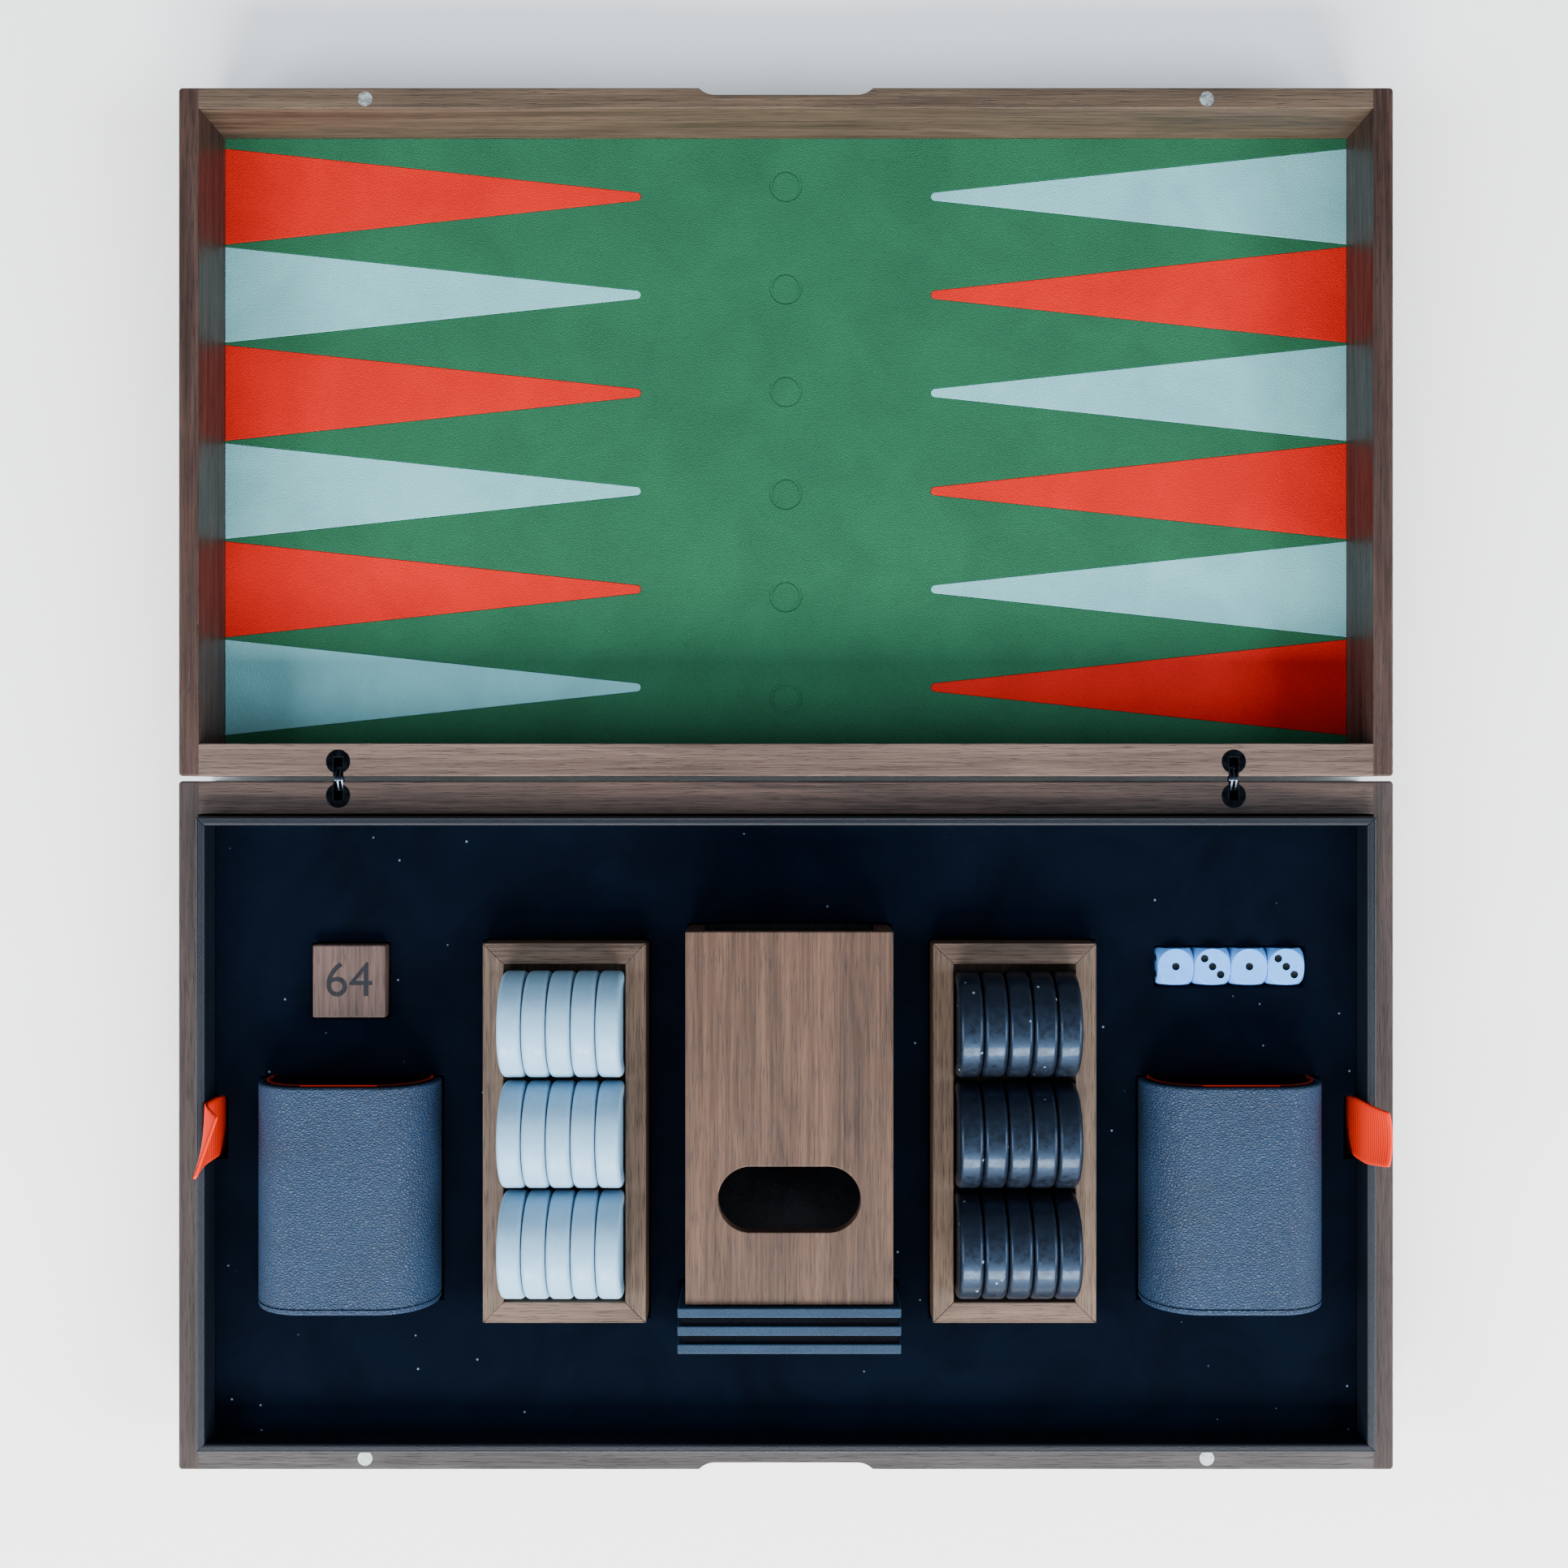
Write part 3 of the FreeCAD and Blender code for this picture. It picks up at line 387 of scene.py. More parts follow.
class Recipe:
    """The nodes of one material, added from a pattern's coordinates up to its shader."""

    def __init__(self, name: str, **sockets: Any) -> None:
        """Start a material.

        Args:
            name: The material's name.
            **sockets: Values for the shader's sockets, with _ for a space.
        """
        self.material = bpy.data.materials.new(name)
        self.material.use_nodes = True
        self.tree = self.material.node_tree
        self.shader = self.tree.nodes["Principled BSDF"]
        for key, value in sockets.items():
            self.shader.inputs[key.replace("_", " ")].default_value = value

    def add(self, kind: str, inputs: dict[Any, Any], **settings: Any) -> bpy.types.Node:
        """Add a node.

        Args:
            kind: The node's type, without its prefix.
            inputs: A value or a socket for each input, by name or number.
            **settings: The node's own settings.

        Returns:
            The new node.
        """
        node = self.tree.nodes.new("ShaderNode" + kind)
        for key, value in settings.items():
            setattr(node, key, value)
        for key, value in inputs.items():
            if isinstance(value, Socket):
                self.tree.links.new(value, node.inputs[key])
            else:
                node.inputs[key].default_value = value
        return node

    def wire(self, socket: str, value: Socket) -> None:
        """Feed one of the shader's sockets."""
        self.tree.links.new(value, self.shader.inputs[socket])

    def place(self, stretch: Vector = Vector((1, 1, 1)), shift: float = 0.0) -> Socket:
        """Coordinates on the object, scaled and moved by the same amount along each axis."""
        where = self.add("TexCoord", {}).outputs["Object"]
        inputs = {"Vector": where, "Scale": stretch, "Location": (shift,) * 3}
        return self.add("Mapping", inputs).outputs["Vector"]

    def cloth_place(self, width: float, length: float) -> Socket:
        """Coordinates across and along a strip of this size, from its own flat pattern."""
        where = self.add("TexCoord", {}).outputs["UV"]
        return self.add("Mapping", {"Vector": where, "Scale": (width, length, 1)}).outputs["Vector"]

    def noise(
        self, where: Socket, size: float, detail: float = 2, rough: float = 0.5, warp: float = 0,
    ) -> Socket:
        """Soft noise with blots of about this size."""
        inputs = {"Vector": where, "Scale": 1 / size, "Detail": detail}
        inputs |= {"Roughness": rough, "Distortion": warp}
        return self.add("TexNoise", inputs).outputs["Fac"]

    def cells(self, where: Socket, size: float, feature: str = "F1") -> Socket:
        """Distances inside random cells of about this size."""
        node = self.add("TexVoronoi", {"Vector": where, "Scale": 1 / size}, feature=feature)
        return node.outputs["Distance"]

    def bands(self, where: Socket, size: float, direction: str, warp: float = 0) -> Socket:
        """Straight bands of this width."""
        inputs = {"Vector": where, "Scale": 1 / (size * 20) * math.pi, "Distortion": warp}
        return self.add("TexWave", inputs, bands_direction=direction).outputs["Fac"]

    def ramp(self, factor: Socket, *stops: tuple[float, Paint]) -> Socket:
        """A colour for each value, blended between the stops."""
        node = self.add("ValToRGB", {"Fac": factor})
        elements = node.color_ramp.elements
        while len(elements) < len(stops):
            elements.new(0.5)
        for element, (position, colour) in zip(elements, stops):
            element.position = position
            element.color = colour
        return node.outputs["Color"]

    def levels(self, value: Socket, low: float, high: float, start: float = 0, end: float = 1) -> Socket:
        """A value stretched from between low and high to between start and end, and held there."""
        inputs = {"Value": value, "From Min": low, "From Max": high, "To Min": start, "To Max": end}
        return self.add("MapRange", inputs).outputs["Result"]

    def mix(self, factor: Socket | float, first: Any, second: Any, blend: str = "MIX") -> Socket:
        """Two colours, blended."""
        node = self.add("Mix", {0: factor, 6: first, 7: second}, data_type="RGBA", blend_type=blend)
        return node.outputs[2]

    def maths(self, operation: str, first: Any, second: Any = 0.0) -> Socket:
        """One sum of two values."""
        return self.add("Math", {0: first, 1: second}, operation=operation).outputs["Value"]

    def relief(self, height: Socket, depth: float, over: Socket | None = None) -> Socket:
        """Bumps of this depth, over others if they are given."""
        inputs: dict[Any, Any] = {"Height": height, "Distance": depth, "Strength": 1.0}
        if over is not None:
            inputs["Normal"] = over
        return self.add("Bump", inputs).outputs["Normal"]


class Finish:
    """Something that a piece is finished with."""

    def build(self) -> bpy.types.Material:
        """Make the material."""
        raise NotImplementedError


@lru_cache(maxsize=None)
def material_of(finish: Finish) -> bpy.types.Material:
    """The material of a finish, made once."""
    return finish.build()


@dataclass(frozen=True)
class Walnut(Finish):
    """Oiled walnut with open pores.

    Args:
        name: The material's name.
        grain: The way that the grain runs.
        seed: Which stretch of the plank is shown.
        light: The palest wood.
        dark: The darkest wood.
        streak: Width of the colour streaks.
        rings: Growth lines across one broad patch.
        gloss: Lowest roughness.
    """

    name: str
    grain: Grain
    seed: float
    light: Paint
    dark: Paint
    streak: float = 5.0 * MM
    rings: float = 9.0
    gloss: float = 0.42

    def build(self) -> bpy.types.Material:
        """Make the material.

        Returns:
            Streaked brown wood with growth lines and fine dark pores along the grain.
        """
        recipe = Recipe(self.name, IOR=1.45, Specular_IOR_Level=0.3)
        stretch = self.grain.stretch
        broad = recipe.noise(recipe.place(stretch(0.07), self.seed), self.streak * 5, 2, 0.45, 0.8)
        streaks = recipe.noise(recipe.place(stretch(0.022), self.seed), self.streak, 4, 0.62, 0.4)
        fibres = recipe.noise(recipe.place(stretch(0.018), self.seed), 0.9 * MM, 3, 0.65)
        pores = recipe.noise(recipe.place(stretch(0.045), self.seed + 1), 0.5 * MM, 2, 0.5)
        lines = recipe.maths("PINGPONG", recipe.maths("MULTIPLY", broad, self.rings), 0.5)
        lines = recipe.levels(lines, 0.0, 0.5)
        tone = recipe.mix(0.45, recipe.levels(broad, 0.33, 0.67), recipe.levels(streaks, 0.32, 0.68))
        tone = recipe.mix(0.24, tone, lines)
        tone = recipe.mix(0.36, tone, recipe.levels(fibres, 0.34, 0.66))
        middle = tuple(a * 0.45 + b * 0.55 for a, b in zip(self.light, self.dark))
        wood = recipe.ramp(tone, (0.15, self.dark), (0.5, middle), (0.85, self.light))
        pits = recipe.levels(pores, 0.33, 0.45)
        dark_pits = recipe.ramp(pits, (0.0, (0.3, 0.28, 0.28, 1)), (1.0, (1, 1, 1, 1)))
        recipe.wire("Base Color", recipe.mix(0.6, wood, dark_pits, "MULTIPLY"))
        recipe.wire("Roughness", recipe.levels(streaks, 0.3, 0.7, self.gloss, self.gloss + 0.2))
        grooves = recipe.relief(pits, 0.10 * MM)
        recipe.wire("Normal", recipe.relief(fibres, 0.06 * MM, grooves))
        return recipe.material


@dataclass(frozen=True)
class Leather(Finish):
    """Pebbled leather.

    Args:
        name: The material's name.
        colour: The leather's colour.
        pebble: Size of the pebbles.
        depth: Height of the pebbles over their creases.
        gloss: Roughness of the pebbles' tops.
        wear: How much paler the leather gets in patches.
        shine: Strength of its reflections.
        crease_shade: How dark the painted shade in the creases is, from 0 to 1.
        draw: How far the pebbles are drawn out, along each axis.
    """

    name: str
    colour: Paint
    pebble: float = 1.1 * MM
    depth: float = 0.10 * MM
    gloss: float = 0.5
    wear: float = 1.15
    shine: float = 0.2
    crease_shade: float = 0.4
    draw: tuple[float, float, float] = (1.0, 1.0, 1.0)

    def build(self) -> bpy.types.Material:
        """Make the material.

        Returns:
            Irregular pebbles with darker creases and broad soft patches.
        """
        recipe = Recipe(self.name, IOR=1.48, Specular_IOR_Level=self.shine)
        where = recipe.place(Vector(self.draw))
        drift = recipe.add("TexNoise", {"Vector": where, "Scale": 0.35 / self.pebble, "Detail": 2.0})
        sway = {0: drift.outputs["Color"], 1: (self.pebble * 0.9,) * 3}
        moved = recipe.add("VectorMath", sway, operation="MULTIPLY")
        crooked = recipe.add("VectorMath", {0: where, 1: moved.outputs["Vector"]}).outputs["Vector"]
        creases = recipe.levels(recipe.cells(crooked, self.pebble, "DISTANCE_TO_EDGE"), 0.0, 0.28)
        fine = recipe.noise(where, self.pebble * 0.22, 3, 0.6)
        patches = recipe.levels(recipe.noise(where, 34 * MM, 4, 0.6, 0.4), 0.36, 0.64)
        plain = recipe.mix(patches, shaded(self.colour, 0.9), shaded(self.colour, self.wear))
        # The creases are darkened: painted shade in them.
        tint = recipe.ramp(creases, (0.0, (0.0, 0.0, 0.0, 1)), (0.6, (1, 1, 1, 1)))
        recipe.wire("Base Color", recipe.mix(self.crease_shade, plain, tint, "MULTIPLY"))
        dullest = min(self.gloss + 0.25, 1.0)
        recipe.wire("Roughness", recipe.levels(creases, 0.0, 1.0, dullest, self.gloss))
        pebbles = recipe.relief(creases, self.depth)
        recipe.wire("Normal", recipe.relief(fine, self.depth * 0.35, pebbles))
        return recipe.material


@dataclass(frozen=True)
class Velvet(Finish):
    """Short-pile velvet with stray lint.

    Args:
        name: The material's name.
        colour: The pile's colour.
        lint: Size of the cells that each may hold one speck.
    """

    name: str
    colour: Paint = paint(2, 6, 16)
    lint: float = 11 * MM

    def build(self) -> bpy.types.Material:
        """Make the material.

        Returns:
            A dark matt pile with brushed patches and sparse pale specks.
        """
        recipe = Recipe(
            self.name, Roughness=1.0, Specular_IOR_Level=0.03,
            Sheen_Weight=0.06, Sheen_Roughness=0.4, Sheen_Tint=paint(90, 130, 200),
        )
        where = recipe.place()
        brushed = recipe.levels(recipe.noise(where, 45 * MM, 4, 0.6, 0.8), 0.35, 0.65)
        pile = recipe.noise(where, 0.5 * MM, 2, 0.7)
        plain = recipe.mix(brushed, shaded(self.colour, 0.75), shaded(self.colour, 1.3))
        specks = recipe.levels(recipe.cells(where, self.lint), 0.024, 0.05, 1.0, 0.0)
        few = recipe.levels(recipe.noise(where, self.lint * 2, 1), 0.4, 0.55)
        dots = recipe.maths("MULTIPLY", specks, few)
        recipe.wire("Base Color", recipe.mix(dots, plain, paint(96, 110, 140)))
        recipe.wire("Normal", recipe.relief(pile, 0.15 * MM))
        return recipe.material


@dataclass(frozen=True)
class Grosgrain(Finish):
    """Ribbed ribbon.

    Args:
        name: The material's name.
        colour: The ribbon's colour.
        width: Width of the ribbon.
        length: Length of the ribbon.
        rib: Width of one rib across the ribbon.
    """

    name: str
    colour: Paint
    width: float
    length: float
    rib: float = 0.8 * MM

    def build(self) -> bpy.types.Material:
        """Make the material.

        Returns:
            Ribs across the strip, crossed by finer warp threads.
        """
        recipe = Recipe(self.name, Roughness=0.8, Specular_IOR_Level=0.12)
        where = recipe.cloth_place(self.width, self.length)
        ribs = recipe.bands(where, self.rib, "Y")
        threads = recipe.bands(where, self.rib * 0.6, "X", 0.3)
        weave = recipe.maths("MULTIPLY", ribs, recipe.levels(threads, 0, 1, 0.75, 1))
        plain = recipe.mix(weave, shaded(self.colour, 0.62), shaded(self.colour, 1.12))
        recipe.wire("Base Color", plain)
        recipe.wire("Normal", recipe.relief(weave, 0.18 * MM))
        return recipe.material


@dataclass(frozen=True)
class Moulded(Finish):
    """Polished moulded plastic.

    Args:
        name: The material's name.
        colour: The plastic's colour.
        swirl: A second colour in soft clouds.
        gloss: Roughness of the surface.
        dust_and_glints: How pale the specks are, from 0 to 1: painted glints and dust.
        coat: Strength of the polished skin over it.
        shine: Strength of its reflections.
        tint: Colour of its reflections.
    """

    name: str
    colour: Paint
    swirl: Paint
    gloss: float = 0.22
    dust_and_glints: float = 0.0
    coat: float = 0.35
    shine: float = 0.5
    tint: Paint = (1.0, 1.0, 1.0, 1.0)

    def build(self) -> bpy.types.Material:
        """Make the material.

        Returns:
            Clouded plastic under a clear coat, with handling marks and pale specks of painted glints and
            dust.
        """
        recipe = Recipe(
            self.name, IOR=1.5, Coat_Weight=self.coat, Coat_Roughness=0.1, Coat_Tint=self.tint,
            Specular_IOR_Level=self.shine, Specular_Tint=self.tint,
        )
        where = recipe.place()
        clouds = recipe.levels(recipe.noise(where, 9 * MM, 5, 0.6, 1.5), 0.35, 0.65)
        plain = recipe.mix(clouds, self.colour, self.swirl)
        # Pale specks: painted glints and dust.
        specks = recipe.levels(recipe.cells(where, 5.5 * MM), 0.07, 0.12, 1.0, 0.0)
        few = recipe.levels(recipe.noise(where, 9 * MM, 1), 0.52, 0.58)
        dots = recipe.maths("MULTIPLY", recipe.maths("MULTIPLY", specks, few), self.dust_and_glints)
        recipe.wire("Base Color", recipe.mix(dots, plain, paint(150, 165, 185)))
        handled = recipe.noise(where, 3 * MM, 6, 0.7)
        recipe.wire("Roughness", recipe.levels(handled, 0.35, 0.7, self.gloss * 0.8, self.gloss * 1.6))
        recipe.wire("Normal", recipe.relief(recipe.noise(where, 1.4 * MM, 2), 0.012 * MM))
        return recipe.material


@dataclass(frozen=True)
class Metal(Finish):
    """Turned or stamped metal.

    Args:
        name: The material's name.
        colour: The metal's colour.
        gloss: Roughness of the metal.
        scratch: Depth of the tool marks.
    """

    name: str
    colour: Paint
    gloss: float = 0.3
    scratch: float = 0.02 * MM

    def build(self) -> bpy.types.Material:
        """Make the material.

        Returns:
            Metal with fine marks and uneven gloss.
        """
        recipe = Recipe(self.name, Metallic=1.0)
        marks = recipe.noise(recipe.place(Vector((1, 0.08, 0.4))), 0.25 * MM, 3, 0.6)
        dull = recipe.levels(recipe.noise(recipe.place(), 2.5 * MM, 4, 0.6), 0.35, 0.65)
        recipe.wire("Base Color", recipe.mix(dull, shaded(self.colour, 0.8), shaded(self.colour, 1.2)))
        recipe.wire("Roughness", recipe.levels(dull, 0, 1, self.gloss * 0.75, self.gloss * 1.4))
        recipe.wire("Normal", recipe.relief(marks, self.scratch))
        return recipe.material


@dataclass(frozen=True)
class Suede(Finish):
    """Napped lining.

    Args:
        name: The material's name.
        colour: The nap's colour.
    """

    name: str
    colour: Paint

    def build(self) -> bpy.types.Material:
        """Make the material.

        Returns:
            A matt nap with soft brushed patches.
        """
        recipe = Recipe(
            self.name, Roughness=0.95, Specular_IOR_Level=0.1,
            Sheen_Weight=0.1, Sheen_Roughness=0.4, Sheen_Tint=self.colour,
        )
        where = recipe.place()
        brushed = recipe.levels(recipe.noise(where, 12 * MM, 4, 0.6, 0.6), 0.35, 0.65)
        plain = recipe.mix(brushed, shaded(self.colour, 0.8), shaded(self.colour, 1.1))
        recipe.wire("Base Color", plain)
        recipe.wire("Normal", recipe.relief(recipe.noise(where, 0.4 * MM, 3, 0.7), 0.12 * MM))
        return recipe.material


@dataclass(frozen=True)
class PlainPaper(Finish):
    """The pale ground that the set lies on.

    Args:
        name: The material's name.
        colour: The ground's colour.
    """

    name: str
    colour: Paint

    def build(self) -> bpy.types.Material:
        """Make the material.

        Returns:
            Matt paper with hardly any mottling.
        """
        recipe = Recipe(self.name, Roughness=0.95, Specular_IOR_Level=0.1)
        mottle = recipe.noise(recipe.place(), 3 * MM, 3)
        recipe.wire("Base Color", recipe.mix(mottle, shaded(self.colour, 0.985), self.colour))
        return recipe.material


TOP_RAIL_WALNUT = Walnut(
    "walnut_lid_front", Grain.ALONG_X, 3.0, paint(86, 71, 58), paint(38, 30, 23),
)
LID_SIDE_WALNUT = Walnut(
    "walnut_lid_sides", Grain.ALONG_Y, 7.0, paint(68, 49, 43), paint(30, 20, 18), gloss=0.3,
)
LID_HINGE_WALNUT = Walnut(
    "walnut_lid_hinge_rail", Grain.ALONG_X, 4.0, paint(98, 80, 71), paint(50, 39, 35),
)
BASE_HINGE_WALNUT = Walnut(
    "walnut_base_hinge_rail", Grain.ALONG_X, 8.0, paint(78, 61, 55), paint(34, 26, 25),
)
BASE_SIDE_WALNUT = Walnut(
    "walnut_base_sides", Grain.ALONG_Y, 13.0, paint(62, 50, 47), paint(29, 23, 22),
)
BASE_FRONT_WALNUT = Walnut(
    "walnut_base_front", Grain.ALONG_X, 15.0, paint(70, 66, 66), paint(35, 32, 33),
)
PANEL_WALNUT = Walnut(
    "walnut_panels", Grain.ALONG_X, 11.0, paint(84, 66, 52), paint(38, 29, 23), 9 * MM,
)
TOWER_WALNUT = Walnut(
    "walnut_tower", Grain.ALONG_Y, 5.0, paint(91, 67, 54), paint(44, 32, 27), 3.6 * MM, 14.0,
)
# Near-black walnut on the tower's back board and baffles: painted shade inside the tower, seen through
# its window.
SHADE_DARK_WALNUT = Walnut(
    "walnut_painted_shade", Grain.ALONG_Y, 6.0, paint(10, 12, 18), paint(4, 5, 9), 4.2 * MM,
)
BOX_LONG_WALNUT = Walnut(
    "walnut_box_long_walls", Grain.ALONG_Y, 2.0, paint(106, 87, 73), paint(58, 47, 40),
)
BOX_SHORT_WALNUT = Walnut(
    "walnut_box_end_walls", Grain.ALONG_X, 2.5, paint(100, 80, 68), paint(54, 43, 37),
)
CUBE_WALNUT = Walnut(
    "walnut_cube", Grain.ALONG_Y, 9.0, paint(88, 68, 63), paint(44, 33, 32), 3 * MM,
)
GREEN_LEATHER = Leather(
    "leather_green", paint(26, 79, 54), 1.0 * MM, 0.1 * MM, 0.65, 1.06, 0.15, 0.22,
)
RED_LEATHER = Leather(
    "leather_red", paint(172, 16, 10), 1.0 * MM, 0.09 * MM, 0.65, 1.04, 0.12, 0.12,
)
PALE_LEATHER = Leather(
    "leather_pale", paint(104, 158, 164), 1.0 * MM, 0.09 * MM, 0.6, 1.05, 0.15, 0.1,
)
SLATE_LEATHER = Leather(
    "leather_slate", paint(8, 40, 69), 1.2 * MM, 0.24 * MM, 0.44, 1.15, 0.35, 0.5, (0.75, 1.2, 1.0),
)
PLINTH_LEATHER = Leather("leather_plinth", paint(22, 46, 68), 0.7 * MM, 0.04 * MM, 0.42)
# Near-black leather on the spacers between the foot's plates: painted shade in the recesses between
# them.
SPACER_SHADE_LEATHER = Leather("leather_spacers_painted_shade", paint(3, 5, 10), 0.7 * MM, 0.04 * MM, 0.8, shine=0.05)
BORDER_LEATHER = Leather("leather_border", paint(6, 13, 25), 0.8 * MM, 0.04 * MM, 0.34, shine=0.3)
BLACK_VELVET = Velvet("velvet_black")
PEARL_PLASTIC = Moulded(
    "plastic_pearl", paint(124, 162, 188), paint(118, 156, 182), 0.45, coat=0, tint=paint(205, 230, 255),
)
# The black plastic's pale specks are painted glints and dust.
BLACK_PLASTIC = Moulded(
    "plastic_black", paint(13, 14, 19), paint(10, 11, 16), 0.4, 0.9, 0.1, tint=paint(140, 190, 245),
)
WHITE_PLASTIC = Moulded(
    "plastic_white", paint(97, 160, 230), paint(92, 152, 222), 0.2, tint=paint(200, 225, 255),
)
PIP_PAINT = Moulded("plastic_pips", paint(14, 20, 24), paint(10, 15, 19), 0.6, coat=0, shine=0.05)
INLAY_WOOD = Walnut("wood_inlay", Grain.ALONG_Y, 4.0, paint(13, 14, 24), paint(5, 6, 12), 2 * MM)
BLACK_METAL = Metal("metal_black", paint(22, 25, 31), 0.28)
ARM_METAL = Metal("metal_arms", paint(60, 70, 86), 0.24)
MAGNET_METAL = Metal("metal_magnet", paint(165, 172, 172), 0.55)
ORANGE_SUEDE = Suede("suede_orange", paint(190, 30, 12))
# Dark suede on the lining's inner faces: painted shade inside the cup. Only the rim shows the lining's
# orange.
SUEDE_PAINTED_SHADE = Suede("suede_painted_shade", paint(26, 5, 5))
RIBBON_ORANGE = paint(238, 40, 6)


# ---- the case ----------------------------------------------------------------------------

@dataclass
class CaseHalf:
    """One half of the case: walnut walls and a panel under a leather playing field.

    Args:
        half: "lid" or "base".
        side_wood: Wood of the side walls.
        front_wood: Wood of the front rail.
        hinge_wood: Wood of the rail that carries the hinges.
        field_edge: Rounding of the field's cut edges.
        point_edge: Rounding of the points' edges.
    """

    half: str
    side_wood: Walnut
    front_wood: Walnut
    hinge_wood: Walnut
    field_edge: float = 0.18 * MM
    point_edge: float = 0.28 * MM

    def build(self) -> None:
        """Dress the woodwork, then make the field and its points."""
        self.dress_wood()
        self.make_field()
        for colour, finish in (("red", RED_LEATHER), ("pale", PALE_LEATHER)):
            self.make_points(colour, finish)

    def dress_wood(self) -> None:
        """Walnut on each wall, with its grain along the wall, and metal on the magnets."""
        finish_node(f"{self.half}_side_left", self.side_wood)
        finish_node(f"{self.half}_side_right", self.side_wood)
        finish_node(f"{self.half}_front_rail", self.front_wood)
        finish_node(f"{self.half}_hinge_rail", self.hinge_wood)
        finish_node(f"{self.half}_panel", PANEL_WALNUT)
        finish_node(f"{self.half}_magnets", MAGNET_METAL)

    def make_field(self) -> None:
        """The green leather, with soft edges round each opening and pressed ring."""
        node = f"{self.half}_field"
        piece = copy_of_node(node, f"{self.half}_field_leather")
        ease(piece, self.field_edge, 2)
        dress(piece, f"{self.half}_case", "green_leather", GREEN_LEATHER, replaces=(node,))

    def make_points(self, colour: str, finish: Finish) -> None:
        """The inlaid points of one colour.

        Args:
            colour: "red" or "pale".
            finish: The leather that they are cut from.
        """
        node = f"{self.half}_points_{colour}"
        piece = copy_of_node(node, f"{self.half}_{colour}_point_inlays")
        ease(piece, self.point_edge, 2)
        dress(piece, f"{self.half}_case", f"{colour}_leather", finish, replaces=(node,))


@dataclass
class BarrelHinges:
    """The metalwork of one half's two barrel hinges.

    Args:
        half: "lid" or "base".
        barrel_edge: Rounding of a barrel's rims and slot.
        arm_edge: Rounding of the arms' edges.
    """

    half: str
    barrel_edge: float = 0.25 * MM
    arm_edge: float = 0.12 * MM

    def build(self) -> None:
        """Barrels, pins and the arms of both hinges."""
        node = f"{self.half}_hinge_barrels"
        piece = copy_of_node(node, f"{self.half}_slotted_barrels")
        ease(piece, self.barrel_edge, 2)
        dress(piece, f"{self.half}_case", "black_metal", BLACK_METAL, replaces=(node,))
        finish_node(f"{self.half}_hinge_pins", ARM_METAL)
        for side in ("left", "right"):
            node = f"{self.half}_hinge_arms_{side}"
            piece = copy_of_node(node, f"{self.half}_link_arms_{side}")
            ease(piece, self.arm_edge, 2)
            dress(piece, f"{self.half}_arms_{side}", "steel", ARM_METAL, replaces=(node,))


# ---- the tray ----------------------------------------------------------------------------

@dataclass
class LiftOutTray:
    """The tray: a leather-covered border and floor round two velvet-covered foam sheets.

    Args:
        mitre_edge: Rounding along the border's mitres.
        foam_edge: Rounding of the foam's rims.
    """

    mitre_edge: float = 0.25 * MM
    foam_edge: float = 0.9 * MM

    def build(self) -> None:
        """Border, floor and both foam sheets."""
        border = mitred_boards("tray_walls", "tray_leather_border", self.mitre_edge, 2)
        dress(border, "tray", "navy_leather", BORDER_LEATHER, BORDER_LEATHER, replaces=("tray_walls",))
        finish_node("tray_floor", BORDER_LEATHER)
        foams = (("tray_foam_top", "tray_velvet_insert"), ("tray_foam_base", "tray_velvet_bed"))
        for node, name in foams:
            sheet = copy_of_node(node, name)
            ease(sheet, self.foam_edge, 3, 60)
            dress(sheet, "tray", "black_velvet", BLACK_VELVET, replaces=(node,))


